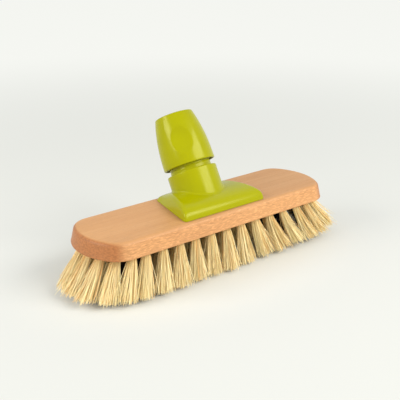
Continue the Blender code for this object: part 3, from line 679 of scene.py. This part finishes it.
def inner_roots():
    """Roots of the inner tufts, by the node that they stand for. The outer ones of a row are black."""
    staggered = [(k + 0.5) * TUFT_PITCH for k in range(round(TUFT_STEPS) + 1)]
    middle, outer = staggered[:1], staggered[2:]
    pale, black = outer[:-BLACK_TUFTS], outer[-BLACK_TUFTS:]
    reach = int(TUFT_STEPS)
    centre = [k * TUFT_PITCH for k in range(-reach, reach + 1)]
    runs = {}
    for side, y in (("front", -ROW_GAP), ("rear", ROW_GAP)):
        runs[f"black_tufts_{side}_left"] = (y, [-x for x in black])
        runs[f"cream_tufts_{side}_left"] = (y, [-x for x in pale])
        runs[f"cream_tufts_{side}_middle"] = (y, [-middle[0], middle[0]])
        runs[f"cream_tufts_{side}_right"] = (y, pale)
        runs[f"black_tufts_{side}_right"] = (y, black)
    runs["black_tufts_centre_left"] = (0.0, centre[:BLACK_TUFTS])
    runs["cream_tufts_centre"] = (0.0, centre[BLACK_TUFTS:-BLACK_TUFTS])
    runs["black_tufts_centre_right"] = (0.0, centre[-BLACK_TUFTS:])
    groups = {name: [(x, y) for x in xs] for name, (y, xs) in runs.items()}
    for name, sign in (("cream_tufts_end_left", -1), ("cream_tufts_end_right", 1)):
        groups[name] = [
            (sign * (SPINE + ROW_GAP * math.cos(a)), ROW_GAP * math.sin(a))
            for a in (-END_TUFT_ANGLE, 0.0, END_TUFT_ANGLE)
        ]
    return {name: np.array(roots) for name, roots in groups.items()}


def splayed_tips(roots):
    """Where tufts meet the floor: tips splay away from the block's middle line and towards the ends."""
    spine = on_middle_line(roots, SPINE)
    tips = spine + TUFT_SPREAD * (roots - spine)
    tips[:, 0] += TUFT_LEAN * roots[:, 0]
    return tips


def fibre_paths(draw, roots, count, settings):
    """Places of all the fibres of some tufts at their stations: sideways as x and y, and heights.

    Sideways it is the hole's place, plus the tuft's lean times the share of the way run, plus the fibre's
    own place in the bundle times a flare that grows with that share, plus a bend with a power of it and a
    small wave. All fibres are about as long as the block stands high, so one that leans far out ends
    above the floor, by the rule of Pythagoras. Tufts from the middle to the right are bent over further.
    """
    tufts = len(roots)
    shape = (tufts, count)
    golden = math.pi * (3.0 - math.sqrt(5.0))
    order = np.arange(count) + 0.5
    ring = np.sqrt(order / count)[None, :] * (TUFT_RADIUS - settings.thickness / 2)
    ring = ring * draw.uniform(0.90, 1.0, shape)
    turn = order[None, :] * golden + draw.uniform(0.0, FULL_TURN, (tufts, 1))
    turn = turn + draw.normal(0.0, 0.12, shape)
    bundle = ring[..., None] * ways(turn)
    lean = splayed_tips(roots) - roots
    run = np.maximum(STATIONS, 0.0)[:, None]
    base = (roots + np.array([0.0, CENTRE_Y]))[:, None, None, :]
    base = base + lean[:, None, None, :] * STATIONS[:, None]
    outward = roots - on_middle_line(roots, SPINE) + np.array([0.0, 1e-6])
    outward = (outward / np.linalg.norm(outward, axis=1, keepdims=True))[:, None, :]
    radial = np.sum(bundle * outward, axis=-1, keepdims=True) * outward
    fan = (settings.flare - 1.0) * draw.uniform(0.82, 1.10, shape)[..., None]
    fan = fan * (1.0 - 0.35 * smooth_step(roots[:, 0], 0.040, 0.065))[:, None, None]
    opened = fan * (bundle - radial) + SIDE_FLARE * fan * radial
    spread = bundle[:, :, None, :] + opened[:, :, None, :] * run ** 0.8
    loose = np.where(draw.random(shape) < LOOSE_SHARE, LOOSE_STRAY, STRAY)[..., None]
    stray = draw.normal(0.0, 1.0, (*shape, 2)) * loose
    wave_way = ways(draw.uniform(0.0, FULL_TURN, shape))[:, :, None, :]
    phase = draw.uniform(0.0, FULL_TURN, shape)[..., None, None]
    wave = wave_way * WAVE * run * np.sin(WAVE_TURNS * run + phase)
    sway = draw.normal(0.0, SWAY, (tufts, 2))
    sway[:, 0] += RIGHT_SWAY * smooth_step(roots[:, 0], 0.000, 0.045)
    path = base + spread + stray[:, :, None, :] * run ** 1.6 + wave
    path = path + sway[:, None, None, :] * run ** 1.7
    reach = np.linalg.norm(path[:, :, -1] - path[:, :, 1], axis=-1)
    drop = np.sqrt(BLOCK_FOOT ** 2 - np.minimum(reach, 0.5 * BLOCK_FOOT) ** 2)
    drop = drop - draw.uniform(0.0, UNEVEN_ENDS, shape) - SHORT_ENDS * draw.random(shape) ** 5
    return path, BLOCK_FOOT - STATIONS * drop[..., None]


def fibre_tubes(draw, path, height, thickness):
    """Points and faces of a three-sided tube along each path, with its tip closed and thinner."""
    shape = path.shape[:2]
    corner = np.arange(SIDES) * FULL_TURN / SIDES
    twist = draw.uniform(0.0, FULL_TURN, shape)[..., None, None]
    width = thickness / 2 * draw.uniform(0.75, 1.2, shape)[..., None, None]
    taper = np.interp(STATIONS, [0.85, 1.0], [1.0, TIP_WIDTH])[:, None]
    x = path[..., 0][..., None] + width * taper * np.cos(corner + twist)
    y = path[..., 1][..., None] + width * taper * np.sin(corner + twist)
    rows = len(STATIONS)
    one = face_grid(rows, SIDES)
    caps = np.array([[SIDES * (rows - 1) + k for k in (0, 1, 2)], [2, 1, 0]])
    starts = np.arange(shape[0] * shape[1])[:, None, None] * rows * SIDES
    triangles = np.concatenate([one[:, [0, 1, 2]], one[:, [0, 2, 3]], caps])
    return joined(x, y, height[..., None]), (starts + triangles).reshape(-1, 3)


def make_fibres(name, roots, count, settings, finish, slot, seed, nodes):
    """One piece with all the fibres of some tufts, which stands for their nodes."""
    draw = np.random.default_rng(seed)
    path, height = fibre_paths(draw, roots, count, settings)
    points, faces = fibre_tubes(draw, path, height, settings.thickness)
    tone = np.clip(draw.normal(*TONE, height.shape[:2]), 0.0, 1.0)
    piece = make_piece(name, points, faces, "brush", slot, finish, sharp=180.0, merge=False)
    piece.data.shade_flat()
    each = points.shape[:-1]
    for key, values in (("tone", tone[..., None, None]), ("along", np.maximum(STATIONS, 0.0)[:, None])):
        attribute = piece.data.attributes.new(key, "FLOAT", "POINT")
        values = np.broadcast_to(values, each).astype(np.float32)
        attribute.data.foreach_set("value", values.ravel())
    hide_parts(*nodes)


class DECKBRUSH_OT_block(bpy.types.Operator):
    """Makes the beech block with its drilled tuft holes."""

    bl_idname = "deckbrush.block"
    bl_label = "Beech block"

    def execute(self, context):
        finish = beech_finish(context.scene.deck_wood)
        points = block_points()
        faces = face_grid(*points.shape[:2])
        block = make_piece("beech_block", points, faces, "brush", "beech", finish, 40.0)
        bm = bmesh.new()
        roots = np.concatenate([border_roots(), *inner_roots().values()])
        for root, tip in zip(roots, splayed_tips(roots)):
            lean = (root - tip) / BLOCK_FOOT
            shear = Matrix.Identity(4)
            shear[0][2], shear[1][2] = lean
            centre = Matrix.Translation((root[0], root[1] + CENTRE_Y, BLOCK_FOOT))
            middle = Matrix.Translation((0.0, 0.0, HOLE_DEPTH / 2 - HOLE_OVERLAP))
            bmesh.ops.create_cone(
                bm, cap_ends=True, segments=14, radius1=HOLE_RADIUS, radius2=HOLE_RADIUS,
                depth=HOLE_DEPTH + 2 * HOLE_OVERLAP, matrix=centre @ shear @ middle,
            )
        low = screw_low[2] - BLOCK_FOOT
        profile = [(0.0, -0.001), (COUNTERSINK_RADIUS, -0.001), (COUNTERSINK_RADIUS, low),
                   (PILOT_RADIUS, low + 0.0022), (PILOT_RADIUS, PILOT_TOP), (0.0, PILOT_TOP)]
        for x in (-SCREW_X, SCREW_X):
            for y in (-ROW_GAP, ROW_GAP):
                add_turned(bm, profile, (x, y + CENTRE_Y, BLOCK_FOOT), 24)
        cut(block, loose_object("tuft_holes", bm))
        finish_piece(block, "brush", "beech", finish, 40.0)
        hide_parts("brush_block")
        return {"FINISHED"}


def add_turned(bm, profile, place, steps):
    """A closed turned shape in a bmesh, from a profile of radii and heights round the vertical."""
    x, y, z = place
    turn = np.arange(steps) * FULL_TURN / steps
    rows = [
        [bm.verts.new((x + r * math.cos(a), y + r * math.sin(a), z + h)) for a in turn]
        if r > 0.0 else [bm.verts.new((x, y, z + h))] * steps
        for r, h in profile
    ]
    for low, high in zip(rows, rows[1:]):
        for k in range(steps):
            corners = [low[k], low[(k + 1) % steps], high[(k + 1) % steps], high[k]]
            unique = list(dict.fromkeys(corners))
            if len(unique) > 2:
                bm.faces.new(unique)


class DECKBRUSH_OT_holder(bpy.types.Operator):
    """Makes the handle holder: vaulted plate, collar and threaded neck in one moulding."""

    bl_idname = "deckbrush.holder"
    bl_label = "Handle holder"

    def execute(self, context):
        finish = lime_finish(context.scene.deck_plastic)
        looks = ("brush", "lime_plastic", finish)
        plate = plate_piece(looks)
        fillet = make_piece("collar_fillet", *collar_fillet(), *looks, 180.0)
        collar = make_piece("socket_collar", *collar_and_neck(), *looks)
        blind = (NECK_BORE_RADIUS - 0.0013, NECK_RADIUS - 0.0004, KEY_SLOT_FLOOR)
        through = (NECK_BORE_RADIUS, NECK_RADIUS + 0.0026, NUT_FOOT + 0.0028)
        for near, far, low in (blind, through):
            bm = bmesh.new()
            for side in (-1, 1):
                place = Matrix.Translation((side * (near + far) / 2, 0.0, (low + KEY_SLOT_TOP) / 2))
                size = Matrix.Diagonal((far - near, KEY_SLOT_WIDTH, KEY_SLOT_TOP - low, 1.0))
                bmesh.ops.create_cube(bm, size=1.0, matrix=SOCKET @ place @ size)
            cut(collar, loose_object("key_slots", bm))
        finish_piece(collar, *looks)
        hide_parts("handle_holder")
        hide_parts("handle_holder")
        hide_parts("handle_holder")
        return {"FINISHED"}


def plate_half_width(y, z):
    """Half width of the plate at y and at a height z over the block, on its sloping end."""
    foot = PLATE_HALF_WIDTH - PLATE_TAPER * y
    ridge = RIDGE_HALF_WIDTH - RIDGE_TAPER * y
    return foot + (ridge - foot) * z / vault_height(y)


def plate_piece(looks):
    """The plate: a parabola across Y between two straight ridges, with sloping ends and round edges."""
    half = PLATE_DEPTH / 2
    y = np.concatenate([[-half], np.linspace(1.7 * FRONT_ROUNDING - half, half, 9)])
    height = vault_height(y)
    foot = plate_half_width(y, 0.0)
    ridge = plate_half_width(y, height)
    behind = y + np.where(y == -half, FRONT_RAKE, 0.0)
    low, high = BLOCK_TOP + SEAM, BLOCK_TOP + height
    columns = [(-foot, y, low), (-ridge, behind, high), (ridge, behind, high), (foot, y, low)]
    points = np.stack([joined(*column) for column in columns], axis=1)
    points[..., 1] += CENTRE_Y
    bm = bmesh.new()
    verts = [[bm.verts.new(p) for p in row] for row in points]
    weight = bm.edges.layers.float.new("bevel_weight_edge")
    for near, far in zip(verts, verts[1:]):
        for a in range(4):
            b = (a + 1) % 4
            bm.faces.new([near[a], near[b], far[b], far[a]])
    bm.faces.new(verts[0])
    bm.faces.new(verts[-1])
    front, back = verts[0], verts[-1]
    edges = [(front[1], front[2], FRONT_ROUNDING), (back[1], back[2], BACK_ROUNDING)]
    edges += [(end[k], end[k + 1], END_ROUNDING) for end in (front, back) for k in (0, 2)]
    edges += [(a[k], b[k], RIDGE_ROUNDING) for a, b in zip(verts, verts[1:]) for k in (1, 2)]
    for a, b, rounding in edges:
        bm.edges.get((a, b))[weight] = rounding / FRONT_ROUNDING
    plate = loose_object("socket_plate", bm)
    modify(plate, "round_edges", "BEVEL", width=FRONT_ROUNDING, segments=6, limit_method="WEIGHT")
    finish_piece(plate, *looks, 30.0)
    return plate


def thread_wave(height, turn):
    """Round thread: 0 in its groove and 1 on its crest, which climbs one pitch with each turn."""
    phase = FULL_TURN * height / THREAD_PITCH - turn
    return (0.5 + 0.5 * np.cos(phase)) ** 0.8


def collar_and_neck(columns=128):
    """The socket's turned part: a closed outline of radius and height carried round its axis.

    The foot of the outline is moved down to the block's top all round, and the neck's radius falls by the
    depth of the thread wherever the thread's wave is low.
    """
    inside = [(0.0, SEAT_FLOOR), (BORE_RADIUS - 0.0005, SEAT_FLOOR), (BORE_RADIUS, SEAT_FLOOR + 0.0005),
              (BORE_RADIUS, SLEEVE_SHOULDER), (NECK_BORE_RADIUS, SLEEVE_SHOULDER),
              (NECK_BORE_RADIUS, NECK_TOP - 0.0003), (NECK_BORE_RADIUS + 0.0003, NECK_TOP),
              (NECK_RADIUS - 0.0009, NECK_TOP), (NECK_RADIUS - 0.0005, NECK_TOP - 0.0004)]
    neck = [(NECK_RADIUS, h) for h in np.arange(NECK_TOP - 0.0008, COLLAR_TOP + 0.0012, -0.0002)]
    edge = COLLAR_ROUNDING
    root = [(NECK_RADIUS + 0.0004 * (1 - c), COLLAR_TOP + 0.0004 * (1 - s)) for c, s in quarter(4)]
    rim = [(COLLAR_RADIUS - edge + edge * s, COLLAR_TOP - edge + edge * c) for c, s in quarter(7)]
    wall = [(COLLAR_RADIUS, COLLAR_TOP - 0.004)]
    outline = np.array(inside + neck + root + rim + wall)
    radius, height, turn = turned(outline, columns)
    threaded = radius == NECK_RADIUS
    depth = sum(gain * smooth_step(height, low, high) for gain, low, high in NECK_THREAD)
    radius = radius - np.where(threaded, depth * (1.0 - thread_wave(height, turn)), 0.0)
    ceiling = np.full_like(turn, SEAT_FLOOR - COLLAR_WALL)
    outer, inner = (np.full_like(turn, r) for r in (COLLAR_RADIUS, COLLAR_RADIUS - COLLAR_WALL))
    foot_outer, foot_inner = (
        (SEAM + r * np.sin(turn) * math.sin(TILT)) / math.cos(TILT) for r in (outer, inner)
    )
    radius = np.concatenate([radius, outer, inner, inner, np.zeros_like(turn)])
    corner = np.maximum(ceiling, foot_inner + 0.0002)
    height = np.concatenate([height, foot_outer, foot_inner, corner, ceiling])
    return on_socket(radius, height, turn), face_grid(*radius.shape)


def collar_fillet(columns=96, rows=7):
    """Soft corner between collar and plate.

    Where the collar's wall meets the vault is found by Newton's steps along the wall. Across it runs a
    quadratic Bezier curve from a point up the wall, with the meeting point as its corner, to a point
    out on the vault.
    """
    turn = np.linspace(math.radians(-222.0), math.radians(42.0), columns)
    height = np.zeros(columns)
    for _ in range(12):
        point = on_socket(COLLAR_RADIUS, height, turn)
        y = point[:, 1] - CENTRE_Y
        miss = point[:, 2] - BLOCK_TOP - vault_height(y)
        slope = math.cos(TILT) + (y - CREST_Y) / VAULT_RADIUS * math.sin(TILT)
        height = height - miss / slope
    corner = on_socket(COLLAR_RADIUS, height, turn)
    up = on_socket(COLLAR_RADIUS - 0.00004, height + FILLET_REACH, turn)
    way = joined(np.cos(turn), np.sin(turn) * math.cos(TILT))
    way /= np.linalg.norm(way, axis=1, keepdims=True)
    out = corner.copy()
    out[:, :2] += FILLET_REACH * way
    out[:, 2] = BLOCK_TOP + vault_height(out[:, 1] - CENTRE_Y) - 0.00004
    share = np.linspace(0.0, 1.0, rows)[:, None, None]
    curve = (1 - share) ** 2 * up + 2 * share * (1 - share) * corner + share ** 2 * out
    inner = corner + (corner - (up + out) / 2) * 0.4
    loop = np.concatenate([curve, inner[None]])
    faces = face_grid(rows + 1, columns, wrap_rows=True, wrap_columns=False)
    caps = [[k * columns for k in (a, a + 1, rows, rows)] for a in range(rows - 1)]
    caps += [[k * columns + columns - 1 for k in (a + 1, a, rows, rows)] for a in range(rows - 1)]
    return loop, np.concatenate([faces, np.array(caps)])


def nut_radius(height):
    """Outer radius of the nut: it shrinks towards the mouth with a power of the height."""
    share = np.clip((height - NUT_FOOT) / NUT_LENGTH, 0.0, 1.0)
    return NUT_FOOT_RADIUS - (NUT_FOOT_RADIUS - NUT_TOP_RADIUS) * share ** NUT_CURVE


class DECKBRUSH_OT_nut(bpy.types.Operator):
    """Makes the clamp nut with its finger dimples and inside thread."""

    bl_idname = "deckbrush.nut"
    bl_label = "Clamp nut"

    def execute(self, context):
        finish = lime_finish(context.scene.deck_plastic, "lime_plastic_nut")
        bend, edge = NUT_TOP - NUT_LIP, NUT_EDGE
        bend_radius, foot_radius = nut_radius(bend), nut_radius(NUT_FOOT)
        mouth = [(NUT_MOUTH_RADIUS, NUT_TOP - 0.0004), (0.0133, NUT_TOP)]
        mouth += [(bend_radius - NUT_LIP * (1 - s), bend + NUT_LIP * c) for c, s in quarter(7)]
        belly = [(nut_radius(h), h) for h in np.linspace(bend, NUT_FOOT + edge, 90)[1:]]
        foot = [(foot_radius - edge * (1 - c), NUT_FOOT + edge * (1 - s)) for c, s in quarter(6)[1:]]
        bore = NUT_THREAD_RADIUS
        entry = [(bore + 0.0026, NUT_FOOT), (bore + 0.0024, NUT_FOOT + 0.0018), (bore, NUT_FOOT + 0.0028)]
        thread = [(bore, h) for h in np.arange(NUT_FOOT + 0.0032, 0.0488, 0.00025)]
        outline = np.array(mouth + belly + foot + entry + thread + NUT_INSIDE)
        radius, height, turn = turned(outline, 288)
        outside = len(mouth) + len(belly)
        threaded = radius == bore
        crest = NUT_THREAD_DEPTH * smooth_step(height, 0.0340, 0.0360)
        crest = crest * (1 - smooth_step(height, 0.0465, 0.0485))
        ridge = crest * thread_wave(height, turn + math.pi)
        radius = radius - np.where(threaded, ridge, 0.0)
        radius[:outside] -= finger_dimples(height[:outside], turn)
        points, faces = on_socket(radius, height, turn), face_grid(*radius.shape, wrap_rows=True)
        nut = make_piece("lime_clamp_nut", points, faces, "nut", "lime_plastic", finish, 40.0)
        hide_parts("clamp_nut")
        return {"FINISHED"}


def finger_dimples(height, turn):
    """Depth of the three dimples by height and turn.

    A dimple is a shallow bowl: its depth falls with the square of the distance from its middle, and a
    square root rounds the crease where it meets the nut.
    """
    depth = np.zeros(np.broadcast_shapes(height.shape, turn.shape))
    for number in range(3):
        centre = DIMPLE_TURN + FULL_TURN * number / 3
        away = (turn - centre + math.pi) % FULL_TURN - math.pi
        across = away * nut_radius(DIMPLE_HEIGHT) / DIMPLE_HALF_WIDTH
        along = (height - DIMPLE_HEIGHT) / DIMPLE_HALF_LENGTH
        bowl = 1.0 - across ** 2 - along ** 2
        rounded = 0.5 * (bowl + np.sqrt(bowl ** 2 + 0.006)) - 0.002
        depth = depth + DIMPLE_DEPTH * np.maximum(rounded, 0.0)
    return np.where(depth > 0.00001, depth, 0.0)


class DECKBRUSH_OT_sleeve(bpy.types.Operator):
    """Makes the split clamping sleeve inside the nut."""

    bl_idname = "deckbrush.sleeve"
    bl_label = "Clamping sleeve"

    def execute(self, context):
        node = frame["nodes"]["clamping_sleeve"]
        mesh = node.data.copy()
        mesh.name = "split_sleeve"
        tidy_mesh(mesh, 1e-5)
        piece = add_object("split_sleeve", mesh)
        modify(piece, "soft_edges", "BEVEL", width=0.00012, segments=2,
               limit_method="ANGLE", angle_limit=math.radians(40.0))
        finish_piece(piece, "sleeve", "sleeve_plastic", sleeve_finish(), 35.0)
        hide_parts("clamping_sleeve")
        return {"FINISHED"}


class DECKBRUSH_OT_screws(bpy.types.Operator):
    """Makes the four countersunk screws with cross recesses and threads."""

    bl_idname = "deckbrush.screws"
    bl_label = "Holder screws"

    def execute(self, context):
        looks = ("brush", "screw_steel", screw_finish())
        shank = [(SHANK_RADIUS, h) for h in np.arange(0.0030, 0.0152, 0.0002)]
        radius, height, turn = turned(np.array(SCREW_HEAD + shank + SCREW_TIP), 28)
        threaded = (radius == SHANK_RADIUS) & (height > SCREW_THREAD_START)
        wave = (0.5 + 0.5 * np.cos(FULL_TURN * height / SCREW_PITCH - turn)) ** 3
        radius = radius - np.where(threaded, SCREW_THREAD_DEPTH * (1 - wave), 0.0)
        for number in range(1, 5):
            low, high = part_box(f"holder_screw_{number}")
            x, y, foot = (low[0] + high[0]) / 2, (low[1] + high[1]) / 2, low[2]
            points = joined(x + radius * np.cos(turn), y + radius * np.sin(turn), foot + height)
            name = f"steel_screw_{number}"
            screw = make_piece(name, points, face_grid(*radius.shape), *looks, 30.0)
            for angle in (0.3 * number, 0.3 * number + math.pi / 2):
                bm = bmesh.new()
                place = Matrix.Translation((x, y, foot)) @ Matrix.Rotation(angle, 4, "Z")
                size = Matrix.Diagonal((*RECESS_BLADE, 1.0))
                blade = bmesh.ops.create_cube(bm, size=1.0, matrix=place @ size)
                for vert in blade["verts"]:
                    if vert.co.z > foot:
                        vert.co.x = x + (vert.co.x - x) * 0.5
                        vert.co.y = y + (vert.co.y - y) * 0.5
                cut(screw, loose_object("cross_recess", bm))
            finish_piece(screw, *looks, 30.0)
            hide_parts(f"holder_screw_{number}")
        return {"FINISHED"}


class DECKBRUSH_OT_border(bpy.types.Operator):
    """Makes the cream fibres of the border tufts, in four pieces."""

    bl_idname = "deckbrush.border"
    bl_label = "Border tufts"

    def execute(self, context):
        settings = context.scene.deck_fibre
        finish = fibre_finish("cream_fibre", settings.cream, settings.straw, 0.62)
        roots = border_roots()
        straight = int(TUFT_STEPS) * TUFT_PITCH + 1e-4
        inside = np.abs(roots[:, 0]) <= straight
        sets = {
            "front_border_fibres": inside & (roots[:, 1] < 0),
            "rear_border_fibres": inside & (roots[:, 1] > 0),
            "left_border_fibres": ~inside & (roots[:, 0] < 0),
            "right_border_fibres": ~inside & (roots[:, 0] > 0),
        }
        for seed, (name, chosen) in enumerate(sets.items(), start=11):
            numbers = np.flatnonzero(chosen)
            nodes = [f"border_tuft_{k + 1:02d}" for k in numbers]
            chosen = roots[numbers]
            make_fibres(name, chosen, settings.border_count, settings, finish, "cream_fibre", seed, nodes)
        return {"FINISHED"}


class DECKBRUSH_OT_inner(bpy.types.Operator):
    """Makes the fibres of the inner tufts: cream in the middle and the ends, black between them."""

    bl_idname = "deckbrush.inner"
    bl_label = "Inner tufts"

    def execute(self, context):
        settings = context.scene.deck_fibre
        cream = fibre_finish("cream_fibre_inner", settings.cream, settings.straw, 0.62)
        dark = fibre_finish("black_fibre", settings.black, shade(settings.black, 0.55), 0.50)
        groups = inner_roots()
        pale = [n for n in groups if n.startswith("cream")]
        deep = [n for n in groups if n.startswith("black")]
        for name, nodes, finish, slot, seed in (
            ("inner_cream_fibres", pale, cream, "cream_fibre", 31),
            ("inner_black_fibres", deep, dark, "black_fibre", 47),
        ):
            roots = np.concatenate([groups[n] for n in nodes])
            make_fibres(name, roots, settings.inner_count, settings, finish, slot, seed, nodes)
        return {"FINISHED"}


def add_area_light(name, place, size, power):
    """A soft light that looks at the brush."""
    shape = {"shape": "RECTANGLE", "size": size[0], "size_y": size[1], "energy": power, "color": WARM}
    data = set_all(bpy.data.lights.new(name, "AREA"), shape)
    turn = (TARGET - place).to_track_quat("-Z", "Y").to_euler()
    add_object(name, data, location=place, rotation_euler=turn)


def floor_finish(settings):
    """White paper that shows pale to the camera, more so away from the brush, and keeps the shadow.

    Seen from below it is clear, so that the tufts and screws can be looked at.
    """
    paper = NodeTree("paper_floor")
    drift = paper.noise((3.0, 3.0, 3.0), detail=1.0)
    near = tuple(settings.floor)
    tone = paper.mix(drift, shade(near, 0.985), shade(near, 1.01))
    where = paper.add("ShaderNodeTexCoord").outputs["Object"]
    away = paper.mask(paper.times(paper.length(where), 0.5), 0.08, 0.50, "EASE")
    flat = paper.add("ShaderNodeVectorMath", {0: where, 1: SHADOW_SHAPE}, operation="MULTIPLY")
    clear = paper.mask(paper.length(flat.outputs["Vector"]), 0.048, 0.095, "EASE")
    share = paper.math("ADD", paper.times(clear, 0.45), paper.times(away, 0.47))
    inputs = {"Base Color": tone, "Roughness": 0.9, "Specular IOR Level": 0.1}
    solid = paper.add("ShaderNodeBsdfPrincipled", inputs)
    glow = paper.add("ShaderNodeEmission", {"Color": paper.mix(away, near, tuple(settings.backdrop))})
    shown = paper.mix_shaders(paper.times(paper.seen_rays(), share), solid, glow)
    below = paper.add("ShaderNodeNewGeometry").outputs["Backfacing"]
    camera = paper.add("ShaderNodeLightPath").outputs["Is Camera Ray"]
    clear_paper = paper.add("ShaderNodeBsdfTransparent")
    return paper.finish(paper.mix_shaders(paper.times(camera, below), shown, clear_paper))


def room_world(settings):
    """Even light from all round, and a pale backdrop for the picture and reflections."""
    room = NodeTree("room", "World")
    light = room.add("ShaderNodeBackground", {"Color": (1.0, 0.995, 0.985), "Strength": settings.sky})
    shown = room.add("ShaderNodeBackground", {"Color": settings.backdrop, "Strength": 1.0})
    return room.finish(room.mix_shaders(room.seen_rays(), light, shown))


class DECKBRUSH_OT_stage(bpy.types.Operator):
    """Makes the pale floor, the soft lights and the camera."""

    bl_idname = "deckbrush.stage"
    bl_label = "Stage"

    def execute(self, context):
        settings = context.scene.deck_stage
        mesh = bpy.data.meshes.new("floor")
        corners = [(x * FLOOR_REACH, y * FLOOR_REACH, FLOOR_HEIGHT) for x, y in FLOOR_CORNERS]
        mesh.from_pydata(corners, [], [(0, 1, 2, 3)])
        floor = add_object("floor", mesh)
        mesh.materials.append(floor_finish(settings))
        add_area_light("key", KEY_PLACE, KEY_SIZE, settings.key)
        add_area_light("side", SIDE_PLACE, SIDE_SIZE, settings.fill)
        context.scene.world = room_world(settings)
        lens = {"sensor_width": 36.0, "lens": settings.focal, "clip_start": 0.01}
        camera_data = set_all(bpy.data.cameras.new("camera"), lens)
        camera = add_object("camera", camera_data, location=CAMERA_PLACE, rotation_euler=CAMERA_TURN)
        context.scene.camera = camera
        context.scene.view_settings.view_transform = "Standard"
        return {"FINISHED"}


class DECKBRUSH_PT_panel(bpy.types.Panel):
    """Lists the brush's pieces and settings."""

    bl_idname = "DECKBRUSH_PT_panel"
    bl_label = "Deck Brush"
    bl_space_type = "VIEW_3D"
    bl_region_type = "UI"
    bl_category = "Deck Brush"

    def draw(self, context):
        column = self.layout.column(align=True)
        for operator in OPERATORS:
            column.operator(operator.bl_idname)
        for group in SETTINGS:
            settings = getattr(context.scene, group)
            box = self.layout.box()
            for key in settings.__annotations__:
                box.prop(settings, key)


OPERATORS = (
    DECKBRUSH_OT_block,
    DECKBRUSH_OT_holder,
    DECKBRUSH_OT_sleeve,
    DECKBRUSH_OT_nut,
    DECKBRUSH_OT_screws,
    DECKBRUSH_OT_border,
    DECKBRUSH_OT_inner,
    DECKBRUSH_OT_stage,
)
SETTINGS = {
    "deck_wood": WoodSettings,
    "deck_plastic": PlasticSettings,
    "deck_fibre": FibreSettings,
    "deck_stage": StageSettings,
}


def register():
    for kind in (*SETTINGS.values(), *OPERATORS, DECKBRUSH_PT_panel):
        bpy.utils.register_class(kind)
    for name, kind in SETTINGS.items():
        setattr(bpy.types.Scene, name, bpy.props.PointerProperty(type=kind))


def unregister():
    for name in SETTINGS:
        delattr(bpy.types.Scene, name)
    for kind in reversed((*SETTINGS.values(), *OPERATORS, DECKBRUSH_PT_panel)):
        bpy.utils.unregister_class(kind)


def main():
    register()
    bpy.ops.deckbrush.block()
    bpy.ops.deckbrush.holder()
    bpy.ops.deckbrush.sleeve()
    bpy.ops.deckbrush.nut()
    bpy.ops.deckbrush.screws()
    bpy.ops.deckbrush.border()
    bpy.ops.deckbrush.inner()
    bpy.ops.deckbrush.stage()
    bpy.context.view_layer.update()


if __name__ == "__main__":
    main()
